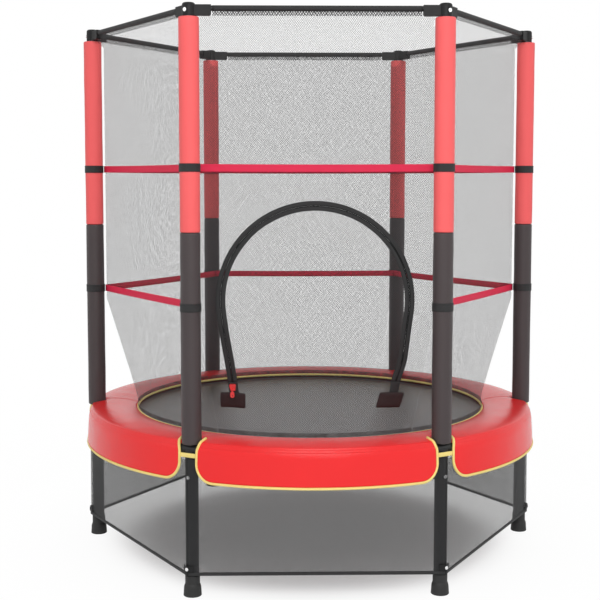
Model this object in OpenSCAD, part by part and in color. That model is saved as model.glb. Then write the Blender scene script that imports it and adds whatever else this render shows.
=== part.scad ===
// Children's round trampoline with six uprights, a safety net with a zip door,
// a padded ring and a lower skirt net. Millimetres, +Z up, origin on the floor
// under the middle. Upright 1 stands front left, and they count anticlockwise.

/* [Overall] */
// Radius of the circle that the six uprights stand on
upright_circle_r = 676; // [640:1:720]
// Height of the tops of the corner caps above the floor
total_h = 1592; // [1450:1:1750]
// Height of the middle of the ring tube above the floor
ring_z = 404; // [380:1:450]

/* [Steel tubes] */
// Outside diameter of the ring tube
ring_tube_d = 26; // [24:0.5:28]
// Wall of the leg sleeves that the ring tubes plug into
sleeve_wall = 1.8; // [1.2:0.1:2.5]
// Length of a leg's sleeve along the ring
sleeve_len = 120; // [90:1:124]
// Distance that a ring tube's end stays from the middle of its sleeve
ring_end_gap = 15; // [8:1:30]
// Outside diameter of a leg
leg_d = 36; // [32:0.5:38]
// Outside diameter of an upright tube
pole_d = 25.4; // [22:0.2:28]
// Wall of every tube
tube_wall = 1.4; // [1:0.1:2]
// Height of the spigot on a leg that carries the upright
spigot_h = 60; // [30:1:90]
// Length of the push fit between the two halves of an upright
pole_fit_len = 50; // [30:1:80]
// Outside diameter of a top rail
rail_d = 14; // [10:0.5:16]

/* [Feet and leg fittings] */
// Widest diameter of a rubber foot
foot_d = 50; // [46:1:60]
// Height of the wide part of a rubber foot
foot_flare_h = 32; // [20:1:40]
// Height of a rubber foot
foot_h = 57; // [48:1:58]
// Thickness of the rubber under a leg
foot_floor = 5; // [3:0.5:8]
// Wall of the rubber sleeve around a leg
foot_wall = 2; // [1.5:0.1:4]
// Height of the middle of the lower screws
low_screw_z = 79; // [76:1:100]
// Height of the middle of the upper screws
high_screw_z = 329; // [250:1:335]
// Height of the two small holes under each upper screw
leg_hole_z = 307; // [200:1:318]
// Diameter of the small leg holes
leg_hole_d = 4; // [2:0.5:6]
// Diameter of a screw's head
screw_head_d = 10; // [7:0.5:12]
// Thickness of a screw's head
screw_head_h = 2; // [1:0.1:2.4]
// Diameter of a screw's shank
screw_d = 5; // [3:0.5:6]
// Height of a hem bracket
bracket_h = 17; // [12:1:24]
// Thickness of a hem bracket
bracket_t = 2.5; // [2:0.1:3]

/* [Foam sleeves] */
// Outside diameter of a foam sleeve
foam_d = 55; // [45:0.5:57]
// Height where the dark lower foam meets the red upper foam
foam_split_z = 989; // [850:1:1100]
// Gap between a foam sleeve and the corner cap above it
foam_cap_gap = 2; // [1:0.5:60]

/* [Corner caps] */
// Outside diameter of a corner cap
cap_d = 35; // [32:0.5:42]
// Height of a corner cap
cap_h = 35; // [30:0.5:36]
// Radius of the rounding on top of a corner cap
cap_round = 7; // [3:0.5:8]
// Reach of a corner cap's arms from the upright
arm_len = 59; // [45:1:80]
// Height of a corner cap's arms
arm_h = 28; // [20:0.5:29]
// Thickness of a corner cap's arms
arm_t = 20; // [18:0.5:26]
// Depth of the middle of the top rails below the tops of the caps
rail_drop = 15; // [12:0.5:15]
// Depth of the cap screws below the tops of the caps
cap_screw_drop = 20; // [15:0.5:24]
// Depth of the rail sockets in the arms
rail_socket = 32; // [20:1:36]

/* [Jumping mat] */
// Distance from the circle of the uprights in to the edge of the mat
mat_inset = 101; // [91:1:116]
// Thickness of the mat cloth
mat_t = 3; // [2:0.5:4]
// Height of the middle of the mat above the middle of the ring tube
mat_lift = 3; // [0:0.5:4]
// Width of the doubled border of the mat
mat_border_w = 34; // [15:1:50]
// Thickness of the doubled border of the mat
mat_border_t = 4.6; // [4:0.2:5]
// Elastic loops between two legs
loops_per_side = 5; // [4:1:5]
// Thickness of an elastic loop
loop_t = 4; // [3:0.2:4.4]
// Width of an elastic loop
loop_w = 5; // [4:0.5:8]
// Thickness of a mat ring's wire
mat_ring_t = 4; // [3:0.5:4.5]
// Width of a mat ring
mat_ring_w = 24; // [20:1:30]
// Length of a mat ring
mat_ring_len = 20; // [18:1:24]
// Length of the webbing tabs that hold the mat rings
mat_tab_len = 9; // [8:0.5:11]

/* [Safety pad] */
// Distance from the circle of the uprights in to the pad's inner edge
pad_inset = 125; // [116:1:127]
// Reach of the pad's skirt beyond the circle of the uprights
pad_reach = 24; // [22:1:64]
// Height of the skirt's lower edge
skirt_bottom_z = 326; // [300:1:345]
// Height of the edge between the pad's top and its skirt
pad_edge_z = 437; // [432:1:450]
// Height of the pad's crown
pad_crown_z = 444; // [440:1:462]
// Radius of the rounding between the pad's top and its skirt
pad_round = 9; // [5:0.5:10]
// Height of the pad's inner edge above its underside there
pad_lip_h = 9; // [6:0.5:14]
// Thickness of the skirt
skirt_t = 4; // [3:0.5:5]
// Width of the slots that the uprights pass through
slot_w = 63; // [62:0.5:74]
// Radius of the skirt's lower corners at the slots
slot_corner_r = 46; // [20:1:60]
// Diameter of the piping round the skirt
piping_d = 7.6; // [5:0.2:8]
// Diameter of the piping round the pad's inner edge
inner_piping_d = 7; // [4:0.2:7.4]
// Height of the tie bands across the slots
tie_h = 14; // [8:0.5:18]
// Middle of the tie bands below the middle of the ring tube
tie_drop = 13; // [10:0.5:16]

/* [Safety net] */
// Distance from the circle of the uprights in to the net's corners
net_inset = 34; // [33:1:66]
// Distance from the pad's inner edge in to the net's round lower edge
net_foot_inset = 9.5; // [9:0.5:21]
// Height of the net's lower edge
net_bottom_z = 412; // [411.5:0.5:430]
// Height where the net starts to draw in from six sides to round
net_join_z = 756; // [740:1:765]
// Depth below the tops of the caps where the net leans out to the rails
net_lean_drop = 60; // [47:1:150]
// Thickness of the net
net_t = 1.2; // [1:0.1:1.6]
// Width of the strands drawn in the net
strand_w = 8; // [5:0.5:12]
// Columns of net gaps on one side
net_cols = 5; // [3:1:5]
// Rows of net gaps above the height where the net draws in
net_rows = 5; // [3:1:5]
// Height of the upper strap's middle
upper_strap_z = 1161; // [1110:1:1300]
// Height of the lower strap's middle
lower_strap_z = 789; // [775:1:850]
// Height of a strap
strap_h = 20; // [12:1:30]
// Thickness of a strap
strap_t = 1.8; // [1:0.1:2]
// Height of a pole band
band_h = 22; // [14:1:32]
// Thickness of a pole band
band_t = 1.4; // [1:0.1:1.5]

/* [Zip door] */
// Radius of the zip's round top
arch_r = 253; // [240:1:256]
// Height of the centre of the zip's round top
arch_z = 801; // [795:1:810]
// Distance of the zip's lower ends from the middle
arch_foot_x = 226; // [215:1:235]
// Height at which the zip's lower ends are measured
arch_foot_z = 556; // [550:1:562]
// Width of the whole zip tape
zip_tape_w = 24; // [18:1:26]
// Gap between the two halves of the zip
zip_gap = 0.6; // [0.4:0.1:0.9]
// Height of the line on which the door folds down
door_fold_z = 577; // [576:1:585]
// Width of the covers over the zip's lower ends
flap_w = 66; // [50:1:68]
// Height of the covers over the zip's lower ends
flap_h = 42; // [30:1:44]
// Height of the middle of the covers
flap_z = 528; // [524:1:530]
// Width of the zip slider at its top
slider_w = 18; // [14:0.5:20]
// Height of the zip slider
slider_h = 18; // [14:0.5:20]
// Height of the middle of the zip slider
slider_z = 563; // [562:0.5:564]
// Length of the zip pull
pull_len = 22; // [16:0.5:26]
// Width of the zip pull
pull_w = 11; // [8:0.5:12]

/* [Skirt net] */
// Height of the skirt net's hem above the floor
hem_z = 60; // [58:0.5:62]
// Height of the skirt net's hem
hem_h = 10; // [6:0.5:10.5]
// Thickness of the skirt net's hem
hem_t = 5; // [3:0.5:5]
// Height of the skirt net's upper edge
skirt_net_top_z = 380; // [365:1:381]
// Columns of gaps on one side of the skirt net
skirt_cols = 5; // [3:1:5]
// Rows of gaps in the skirt net
skirt_rows = 3; // [2:1:3]

/* [Hidden] */

$fn = 48;
sides = 6;
side_turn = 360 / sides;
first_turn = 240;             // where upright 1 stands
front_turn = 270;             // the way that the door faces
seat = 0.3;                   // gap between pieces that rest on each other
corner_gap = 1;               // a net side ends this far short of its corner
plug_fit = 0.2;               // gap round a tube in its socket
small = 0.01;

// Steel
ring_r = ring_tube_d / 2;
sleeve_r = ring_r + plug_fit + sleeve_wall;
sleeve_half = sleeve_len / 2 / upright_circle_r * 180 / PI;
ring_end_turn = ring_end_gap / upright_circle_r * 180 / PI;
leg_r = leg_d / 2;
pole_r = pole_d / 2;
spigot_r = pole_r - tube_wall - plug_fit;
pole_bottom_z = ring_z + sleeve_r + seat;
cap_bottom_z = total_h - cap_h;
cap_roof = 5;
foam_top_z = cap_bottom_z - foam_cap_gap;
pole_top_z = total_h - cap_roof - seat;
cap_screw_z = total_h - cap_screw_drop;
rail_z = total_h - rail_drop;
arm_over = 2;                 // arm above its rail
arm_bottom_z = rail_z + rail_d / 2 + arm_over - arm_h;
rail_socket_r = rail_d / 2 + plug_fit;

// Mat and loops
mat_r = upright_circle_r - mat_inset;
mat_z = ring_z + mat_lift;
loop_count = sides * loops_per_side;
loop_turn = 360 / loop_count;
mat_tab_w = mat_ring_w - 2 * mat_ring_t - 4;
mat_tab_t = mat_ring_t + 2.4;
mat_tab_wall = 2;
mat_ring_in = mat_r + mat_tab_len - mat_tab_wall - seat - mat_ring_t;
mat_ring_out = mat_ring_in + mat_ring_len;

// Pad
pad_inner_r = upright_circle_r - pad_inset;
pad_outer_r = upright_circle_r + pad_reach;
pad_under_z = ring_z + ring_r + loop_t + 2 * seat;
pad_mid_r = (pad_inner_r + pad_outer_r) / 2;
pad_lip_z = mat_z + mat_border_t / 2 + 1.5;
crown_steps = 8;
slot_half = slot_w / 2;
piping_r = piping_d / 2;
inner_piping_r = inner_piping_d / 2;
piping_path_r = pad_outer_r - skirt_t / 2;
piping_off = piping_r + seat;
slot_corner_dip = 1.5;        // a skirt corner's circle reaches this far past the straight edges
corner_centre = slot_corner_r - slot_corner_dip;

// Net
net_corner_r = upright_circle_r - net_inset;
net_foot_r = pad_inner_r - net_foot_inset;
net_top_z = total_h - net_lean_drop;
net_edge_h = 14;              // straight edge of the net under a rail
net_seam = 0.3;               // between a net side's flat part and its drawn-in part
hex_flat = cos(side_turn / 2);
net_flat = net_corner_r * hex_flat;
net_outer = net_flat + net_t;
tape_off = net_t + seat;
tape_t = 1.2;
flap_off = tape_off + tape_t + seat;
flap_t = 4;
slider_lift = 0.6;
slider_off = tape_off + tape_t + slider_lift;
slider_t = 5.5;
pin_r = 1.2;
pin_fit = 0.08;
pin_lift = 2.5;
pin_off = slider_off + slider_t + pin_lift;
pin_drop = 5;                 // pin below the middle of the slider
ear_t = 1.6;
ear_gap = 5;
pull_t = 2.4;
pull_neck = 5;                // end of the pull's neck below its pin
pull_shoulder = 9;            // start of the pull's full width below its pin

// Zip line: a round top and two straight legs that meet it without a corner
arch_foot_dz = arch_foot_z - arch_z;
arch_foot_dist = sqrt(arch_foot_x * arch_foot_x + arch_foot_dz * arch_foot_dz);
arch_tangent = atan2(arch_foot_dz, arch_foot_x) + acos(arch_r / arch_foot_dist);
arch_slope = -tan(arch_tangent);
arch_sec = 1 / cos(arch_tangent);
function arch_half(z, o) =
    arch_foot_x + (z - arch_foot_z) * arch_slope + o * arch_sec;
slider_x = -arch_half(slider_z, 0);

// A side of the net seen from outside: x to the right, depth out from the axis.
// w is 0 where the net has six flat sides and 1 where it is round.
function smooth(u) = u * u * (3 - 2 * u);
function clamp01(u) = min(1, max(0, u));
function side_depth(x, w, flat, round_r) =
    (1 - w) * flat + w * sqrt(round_r * round_r - x * x);
function side_half(w, flat, round_r) =
    let (k = 1 / tan(side_turn / 2), b = (1 - w) * flat, q = w * w, a = k * k + q)
    (k * b + sqrt(k * k * b * b - a * (b * b - q * round_r * round_r))) / a;
function net_w(z) = smooth(clamp01((net_join_z - z) / (net_join_z - net_bottom_z)));
function net_depth(x, z) = side_depth(x, net_w(z), net_flat, net_foot_r);
function net_half(z) = side_half(net_w(z), net_flat, net_foot_r) - corner_gap;

skirt_net_flat = upright_circle_r * hex_flat + leg_r + bracket_t + seat;
skirt_net_r = skirt_net_flat / hex_flat;
skirt_draw_in = 3;
skirt_round_r = skirt_net_r - skirt_draw_in;
skirt_round = 0.5;            // how far the skirt net turns round by its upper edge
skirt_net_bottom_z = hem_z + hem_h;
function skirt_w(z) =
    skirt_round * (z - skirt_net_bottom_z) / (skirt_net_top_z - skirt_net_bottom_z);
function skirt_depth(x, z) = side_depth(x, skirt_w(z), skirt_net_flat, skirt_round_r);
function skirt_half(z) =
    side_half(skirt_w(z), skirt_net_flat, skirt_round_r) - corner_gap;

// Lines of a grid with strands between gaps: [place, gap follows] from 0 to 1
function strand_lines(count, strand, cuts) = concat(
    [[0, false]],
    [for (i = [0 : count - 1], c = [0 : cuts])
        let (a = i / count + (i == 0 ? strand : strand / 2),
             b = (i + 1) / count - (i == count - 1 ? strand : strand / 2))
        [a + (b - a) * c / cuts, c < cuts]],
    [[1, false]]);
function plain_lines(count) = [for (i = [0 : count]) [i / count, false]];

function two(a, b, c, d) = [[a, b, c], [a, c, d]];
function flat_list(v) = [for (a = v, b = a) b];

// A sheet of cloth or net as one closed solid. Its inside lies at depth(x, z)
// and its outside net thickness t further out, with a hole in each open cell.
module sheet(xs, zs, z0, z1, left, right, depth, t) {
    nx = len(xs);
    nz = len(zs);
    points = [for (layer = [0, 1], b = zs, a = xs)
        let (z = z0 + (z1 - z0) * b[0], x = left(z) + (right(z) - left(z)) * a[0])
        [x, -(depth(x, z) + layer * t), z]];
    at = function (layer, j, i) layer * nx * nz + j * nx + i;
    filled = function (j, i)
        i >= 0 && i < nx - 1 && j >= 0 && j < nz - 1 && !(xs[i][1] && zs[j][1]);
    faces = flat_list([for (j = [0 : nz - 2], i = [0 : nx - 2]) if (filled(j, i)) concat(
        two(at(1, j, i), at(1, j + 1, i), at(1, j + 1, i + 1), at(1, j, i + 1)),
        two(at(0, j, i), at(0, j, i + 1), at(0, j + 1, i + 1), at(0, j + 1, i)),
        filled(j, i - 1) ? [] : two(at(0, j, i), at(0, j + 1, i), at(1, j + 1, i), at(1, j, i)),
        filled(j, i + 1) ? [] :
            two(at(1, j, i + 1), at(1, j + 1, i + 1), at(0, j + 1, i + 1), at(0, j, i + 1)),
        filled(j - 1, i) ? [] : two(at(1, j, i + 1), at(0, j, i + 1), at(0, j, i), at(1, j, i)),
        filled(j + 1, i) ? [] :
            two(at(1, j + 1, i), at(0, j + 1, i), at(0, j + 1, i + 1), at(1, j + 1, i + 1))
    )]);
    polyhedron(points, faces, convexity = 4);
}

// Places children at upright k, turned so that +X points away from the middle
module at_upright(k) {
    rotate([0, 0, first_turn + (k - 1) * side_turn])
        translate([upright_circle_r, 0, 0])
            children();
}

// Turns children, drawn as the front side of the net, to side k
module on_side(k) {
    rotate([0, 0, (k - 1) * side_turn]) children();
}

// A flat drawing in x and z, stood up as a sheet with its inside at depth n
module stand(n, t) {
    translate([0, -n, 0]) rotate([90, 0, 0]) linear_extrude(t) children();
}

module tube(z0, z1, r, wall) {
    translate([0, 0, z0]) difference() {
        cylinder(h = z1 - z0, r = r);
        translate([0, 0, -1]) cylinder(h = z1 - z0 + 2, r = r - wall);
    }
}

// A hole for a screw that comes in from outside at height z
module screw_hole(z, len) {
    translate([0, 0, z]) rotate([0, 90, 0])
        cylinder(h = len, d = screw_d + 2 * plug_fit, $fn = 24);
}

// A bent bar on the ring: part of a ring of radius upright_circle_r
module ring_bar(r, from, to) {
    rotate([0, 0, from])
        rotate_extrude(angle = to - from, $fn = 180)
            translate([upright_circle_r, ring_z])
                circle(r = r, $fn = 48);
}

module leg(k) {
    turn = first_turn + (k - 1) * side_turn;
    color("#2c2c2c") difference() {
        union() {
            at_upright(k) translate([0, 0, foot_floor])
                cylinder(h = ring_z - foot_floor, r = leg_r);
            ring_bar(sleeve_r, turn - sleeve_half, turn + sleeve_half);
            at_upright(k) translate([0, 0, ring_z])
                cylinder(h = sleeve_r + spigot_h, r = spigot_r);
        }
        at_upright(k) {
            translate([0, 0, foot_floor - 1])
                cylinder(h = ring_z - sleeve_r - foot_floor, r = leg_r - tube_wall);
            translate([0, 0, ring_z])
                cylinder(h = sleeve_r + spigot_h + 1, r = spigot_r - tube_wall);
            for (y = [-1, 1])
                translate([0, y * leg_r / 4, leg_hole_z]) rotate([0, 90, 0])
                    cylinder(h = leg_d, d = leg_hole_d, $fn = 24);
            for (z = [low_screw_z, high_screw_z]) screw_hole(z, leg_d);
        }
        ring_bar(ring_r + plug_fit, turn - sleeve_half - 1, turn + sleeve_half + 1);
    }
}

module rubber_feet() {
    inner_r = leg_r + plug_fit;
    sleeve_out = inner_r + foot_wall;
    color("#1e1e1e") for (k = [1 : sides]) at_upright(k)
        rotate_extrude() polygon([
            [0, 0], [foot_d / 2 - 1.5, 0], [foot_d / 2, 1.5],
            [foot_d / 2 - 1.5, foot_flare_h - 8], [foot_d / 2 - 3, foot_flare_h - 2],
            [sleeve_out + 1, foot_flare_h], [sleeve_out, foot_flare_h + 2],
            [sleeve_out, foot_h - 1], [sleeve_out - 1, foot_h],
            [inner_r, foot_h], [inner_r, foot_floor - seat], [0, foot_floor - seat]
        ]);
}

module frame_arc(k) {
    turn = first_turn + (k - 1) * side_turn;
    from = turn + ring_end_turn;
    to = turn + side_turn - ring_end_turn;
    color("#2a2a2a") difference() {
        ring_bar(ring_r, from, to);
        ring_bar(ring_r - tube_wall, from - 1, to + 1);
    }
}

// An upright of two tubes: the lower one ends in a narrow neck inside the upper one
module pole(k) {
    neck_r = pole_r - tube_wall - plug_fit;
    color("#8c8c8c") at_upright(k) {
        tube(pole_bottom_z, foam_split_z, pole_r, tube_wall);
        tube(foam_split_z - tube_wall, foam_split_z + pole_fit_len, neck_r, tube_wall);
        difference() {
            tube(foam_split_z + seat, pole_top_z, pole_r, tube_wall);
            screw_hole(cap_screw_z, pole_d);
        }
        tube(foam_split_z - 2 * tube_wall, foam_split_z, pole_r - tube_wall / 2, tube_wall);
    }
}

module foam(k, z0, z1) {
    at_upright(k) difference() {
        translate([0, 0, z0]) cylinder(h = z1 - z0, d = foam_d);
        translate([0, 0, z0 - 1]) cylinder(h = z1 - z0 + 2, r = pole_r + seat);
    }
}

module foam_lower(k) {
    color("#4a4041") foam(k, pole_bottom_z, foam_split_z);
}

module foam_upper(k) {
    color("#f06a6a") foam(k, foam_split_z + seat, foam_top_z);
}

// The arm's outline from the side, with a round lower outer corner
module arm_outline() {
    corner = 6;
    difference() {
        translate([0, arm_bottom_z]) square([arm_len, arm_h]);
        translate([arm_len - corner, arm_bottom_z]) difference() {
            translate([0, -1]) square([corner + 1, corner + 1]);
            translate([0, corner]) circle(r = corner);
        }
    }
}

module corner_cap(k) {
    bore_z = cap_bottom_z - 1;
    color("#2b2b2b") at_upright(k) difference() {
        union() {
            translate([0, 0, cap_bottom_z]) rotate_extrude() {
                square([cap_d / 2, cap_h - cap_round]);
                square([cap_d / 2 - cap_round, cap_h]);
                intersection() {
                    translate([cap_d / 2 - cap_round, cap_h - cap_round]) circle(r = cap_round);
                    square([cap_d / 2, cap_h]);
                }
            }
            for (turn = [-1, 1]) rotate([0, 0, turn * 120])
                rotate([90, 0, 0]) linear_extrude(arm_t, center = true) arm_outline();
        }
        translate([0, 0, bore_z]) cylinder(h = pole_top_z + seat - bore_z, r = pole_r + plug_fit);
        screw_hole(cap_screw_z, cap_d);
        for (turn = [-1, 1]) rotate([0, 0, turn * 120])
            translate([arm_len - rail_socket, 0, rail_z]) rotate([0, 90, 0])
                cylinder(h = rail_socket + 1, r = rail_socket_r);
    }
}

module top_rail(k) {
    inset = arm_len - rail_socket + seat;
    rail_len = 2 * upright_circle_r * sin(side_turn / 2) - 2 * inset;
    color("#303030") on_side(k)
        translate([-rail_len / 2, -upright_circle_r * hex_flat, rail_z]) rotate([0, 90, 0])
            difference() {
                cylinder(h = rail_len, d = rail_d);
                translate([0, 0, -1]) cylinder(h = rail_len + 2, d = rail_d - 2 * tube_wall);
            }
}

// The places of the loops, with none at a leg
module each_loop() {
    for (i = [0 : loop_count - 1])
        rotate([0, 0, (i + 0.5) * loop_turn]) children();
}

module jump_mat() {
    slot_x = mat_ring_in - seat;
    color("#4b4b4b") {
        translate([0, 0, mat_z - mat_t / 2])
            cylinder(h = mat_t, r = mat_r - mat_border_w, $fn = 180);
        translate([0, 0, mat_z]) rotate_extrude($fn = 180)
            translate([mat_r - mat_border_w, -mat_border_t / 2]) square([mat_border_w, mat_border_t]);
        each_loop() difference() {
            translate([mat_r - 2, -mat_tab_w / 2, mat_z - mat_tab_t / 2])
                cube([mat_tab_len + 2, mat_tab_w, mat_tab_t]);
            translate([mat_r - 2 - small, -mat_tab_w, mat_z - mat_tab_t])
                cube([2, 2 * mat_tab_w, 2 * mat_tab_t]);
            translate([slot_x, -mat_tab_w, mat_z - mat_ring_t / 2 - seat])
                cube([mat_ring_t + 2 * seat, 2 * mat_tab_w, mat_ring_t + 2 * seat]);
        }
    }
}

module mat_rings() {
    color("#b9b9b9") each_loop()
        translate([mat_ring_in, -mat_ring_w / 2, mat_z - mat_ring_t / 2])
            difference() {
                cube([mat_ring_len, mat_ring_w, mat_ring_t]);
                translate([mat_ring_t, mat_ring_t, -1])
                    cube([mat_ring_len - 2 * mat_ring_t, mat_ring_w - 2 * mat_ring_t, mat_ring_t + 2]);
            }
}

// A belt round the ring tube and a mat ring's outer bar, grown by o
module belt_outline(o) {
    bar_r = mat_ring_t / sqrt(2) + seat;
    big_r = ring_r + seat;
    bar_x = mat_ring_out - mat_ring_t / 2;
    run = upright_circle_r - bar_x;
    rise = ring_z - mat_z;
    dist = sqrt(run * run + rise * rise);
    lean = atan2(rise, run);
    spread = acos((big_r - bar_r) / dist);
    ends = [for (s = [1, -1]) let (a = lean + 180 - s * spread) [cos(a), sin(a)]];
    translate([upright_circle_r, ring_z]) circle(r = big_r + o);
    translate([bar_x, mat_z]) circle(r = bar_r + o);
    polygon([
        [upright_circle_r, ring_z] + (big_r + o) * ends[0],
        [upright_circle_r, ring_z] + (big_r + o) * ends[1],
        [bar_x, mat_z] + (bar_r + o) * ends[1],
        [bar_x, mat_z] + (bar_r + o) * ends[0]
    ]);
}

module elastic_loops() {
    color("#222222") each_loop()
        rotate([90, 0, 0]) linear_extrude(loop_w, center = true) difference() {
            belt_outline(loop_t);
            belt_outline(0);
        }
}

// The pad's upper surface from its inner lip to the start of its rounded edge
function crown_z(r) =
    let (u = (r - pad_inner_r) / (pad_outer_r - pad_round - pad_inner_r),
         inner_z = pad_lip_z + pad_lip_h)
    inner_z + (pad_edge_z - inner_z) * u
        + (pad_crown_z - (inner_z + pad_edge_z) / 2) * (1 - pow(2 * u - 1, 2));

// The pad cut through: a crowned cushion on the ring with a skirt hanging outside
module pad_outline() {
    edge_r = pad_outer_r - pad_round;
    corner_z = pad_edge_z - pad_round;
    lip_run = 40;
    polygon(concat(
        [[pad_inner_r, pad_lip_z], [pad_inner_r, crown_z(pad_inner_r)]],
        [for (i = [1 : crown_steps])
            let (r = pad_inner_r + (edge_r - pad_inner_r) * i / crown_steps) [r, crown_z(r)]],
        [for (a = [67.5, 45, 22.5, 0])
            [edge_r + pad_round * cos(a), corner_z + pad_round * sin(a)]],
        [[pad_outer_r, skirt_bottom_z], [pad_outer_r - skirt_t, skirt_bottom_z],
            [pad_outer_r - skirt_t, pad_under_z], [pad_inner_r + lip_run, pad_under_z]]
    ));
}

// What a slot takes away, seen from outside: straight sides and flared lower corners
module slot_outline() {
    centre = corner_centre;
    translate([-slot_half, skirt_bottom_z - 1])
        square([slot_w, pad_crown_z - skirt_bottom_z + 2]);
    for (s = [-1, 1]) translate([s * slot_half, skirt_bottom_z]) difference() {
        translate([s > 0 ? -1 : -centre, -1]) square([centre + 1, centre + 1]);
        translate([s * centre, centre]) circle(r = slot_corner_r, $fn = 64);
    }
}

module safety_pad() {
    seam_w = 2;
    seam_depth = 1.6;
    seam_from = pad_inner_r - 2;
    notch_r = slot_half + 0.5;
    color("#f23b3b") difference() {
        rotate_extrude($fn = 180) pad_outline();
        for (k = [1 : sides]) at_upright(k) {
            translate([0, 0, pad_under_z - 1]) cylinder(h = pad_crown_z, r = notch_r);
            rotate([90, 0, 90]) linear_extrude(pad_outer_r) slot_outline();
        }
        for (k = [1 : sides]) rotate([0, 0, first_turn + k * side_turn])
            rotate([90, 0, 0]) linear_extrude(seam_w, center = true) polygon(concat(
                [for (i = [0 : crown_steps])
                    let (r = seam_from + (pad_mid_r - seam_from) * i / crown_steps)
                    [r, crown_z(r) - seam_depth]],
                [[pad_mid_r, pad_crown_z + 1], [seam_from, pad_crown_z + 1]]));
    }
}

// The skirt piping's path on one side, from the slot at upright k to the next one.
// Each point is [distance along the skirt from the slot's middle, height, radius].
piping_corner_steps = 6;
piping_run_steps = 12;
piping_edge_x = slot_half - piping_off;
piping_top_z = pad_edge_z - 2;
piping_corner_r = slot_corner_r + piping_off;
piping_skip = acos((corner_centre + piping_off) / piping_corner_r);
function piping_end() = concat(
    [[piping_edge_x, piping_top_z, piping_path_r - 1.5],
        [piping_edge_x, pad_edge_z - 2 * pad_round, piping_path_r]],
    [for (i = [0 : piping_corner_steps])
        let (a = 180 + piping_skip + (90 - 2 * piping_skip) * i / piping_corner_steps)
        [slot_half + corner_centre + piping_corner_r * cos(a),
            skirt_bottom_z + corner_centre + piping_corner_r * sin(a), piping_path_r]]);
function on_skirt(p, from, way) =
    let (a = from + way * asin(p[0] / p[2]))
    [p[2] * cos(a), p[2] * sin(a), p[1]];
function piping_path(from) =
    let (to = from + side_turn,
         end = piping_end(),
         last = end[len(end) - 1],
         start_a = from + asin(last[0] / last[2]),
         stop_a = to - asin(last[0] / last[2]))
    concat(
        [for (p = end) on_skirt(p, from, 1)],
        [for (i = [1 : piping_run_steps - 1])
            let (a = start_a + (stop_a - start_a) * i / piping_run_steps)
            [last[2] * cos(a), last[2] * sin(a), last[1]]],
        [for (i = [len(end) - 1 : -1 : 0]) on_skirt(end[i], to, -1)]);

// A round bar swept along points on an upright drum, with rings square to the path
function unit(v) = v / norm(v);
module sweep_round(path, r, ring_sides) {
    n = len(path);
    rings = [for (i = [0 : n - 1])
        let (ahead = path[min(i + 1, n - 1)], behind = path[max(i - 1, 0)],
             along = unit(ahead - behind),
             out = unit([path[i][0], path[i][1], 0]),
             side = unit(cross(along, out)),
             up = cross(side, along))
        for (j = [0 : ring_sides - 1])
            let (a = 360 * j / ring_sides)
            path[i] + r * (cos(a) * side + sin(a) * up)];
    walls = [for (i = [0 : n - 2], j = [0 : ring_sides - 1])
        let (a = i * ring_sides + j, b = i * ring_sides + (j + 1) % ring_sides)
        each [[a, b, b + ring_sides], [a, b + ring_sides, a + ring_sides]]];
    polyhedron(rings, concat(
        walls,
        [[for (j = [ring_sides - 1 : -1 : 0]) j]],
        [[for (j = [0 : ring_sides - 1]) (n - 1) * ring_sides + j]]), convexity = 4);
}

module pad_piping() {
    tie_half = piping_edge_x - piping_r - seat;
    tie_t = 1.4;
    color("#ffe08a") {
        for (k = [1 : sides]) {
            sweep_round(piping_path(first_turn + (k - 1) * side_turn), piping_r, 6);
            at_upright(k) translate([leg_r + seat, -tie_half, ring_z - tie_drop - tie_h / 2])
                cube([tie_t, 2 * tie_half, tie_h]);
        }
        translate([0, 0, pad_lip_z + inner_piping_r - 1]) rotate_extrude($fn = 180)
            translate([pad_inner_r - seat - inner_piping_r, 0]) circle(r = inner_piping_r, $fn = 16);
    }
}

// The open cells of the net's upper flat part
module net_gaps() {
    half = net_half(net_join_z);
    col_pitch = 2 * half / net_cols;
    row_pitch = (net_top_z - net_join_z) / net_rows;
    for (i = [0 : net_cols - 1], j = [0 : net_rows - 1]) {
        from_x = -half + i * col_pitch + strand_w / (i == 0 ? 1 : 2);
        to_x = -half + (i + 1) * col_pitch - strand_w / (i == net_cols - 1 ? 1 : 2);
        translate([from_x, net_join_z + j * row_pitch + strand_w / 2])
            square([to_x - from_x, row_pitch - strand_w]);
    }
}

module net_flat_part() {
    half = net_half(net_join_z);
    difference() {
        translate([-half, net_join_z]) square([2 * half, net_top_z - net_join_z]);
        net_gaps();
    }
}

// The net's upper edge: it leans out between the foam sleeves, then hangs straight
// from the rail between the caps' arms
module net_hem() {
    pole_x = upright_circle_r * sin(side_turn / 2);
    rail_n = upright_circle_r * hex_flat;
    rail_low = rail_z - rail_d / 2 - seat;
    bend_z = rail_low - net_edge_h;
    lean_half = pole_x - foam_d / 2 - 2 * seat;
    edge_half = pole_x - arm_len - 3;
    rotate([90, 0, 90]) {
        linear_extrude(2 * lean_half, center = true) polygon([
            [-net_outer, net_top_z], [-net_flat, net_top_z],
            [-rail_n + net_t / 2, bend_z], [-rail_n - net_t / 2, bend_z]
        ]);
        linear_extrude(2 * edge_half, center = true)
            translate([-rail_n - net_t / 2, bend_z]) square([net_t, net_edge_h]);
    }
}

module enclosure_net() {
    lower_rows = 2;
    row_cuts = 4;
    color("#c8c8c8") for (k = [2 : sides]) on_side(k) {
        stand(net_flat, net_t) net_flat_part();
        sheet(strand_lines(net_cols, strand_w / (2 * net_half(net_join_z)), 1),
            strand_lines(lower_rows, strand_w / (net_join_z - net_bottom_z), row_cuts),
            net_bottom_z, net_join_z - net_seam,
            function (z) -net_half(z), function (z) net_half(z),
            function (x, z) net_depth(x, z), net_t);
        net_hem();
    }
}

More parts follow.
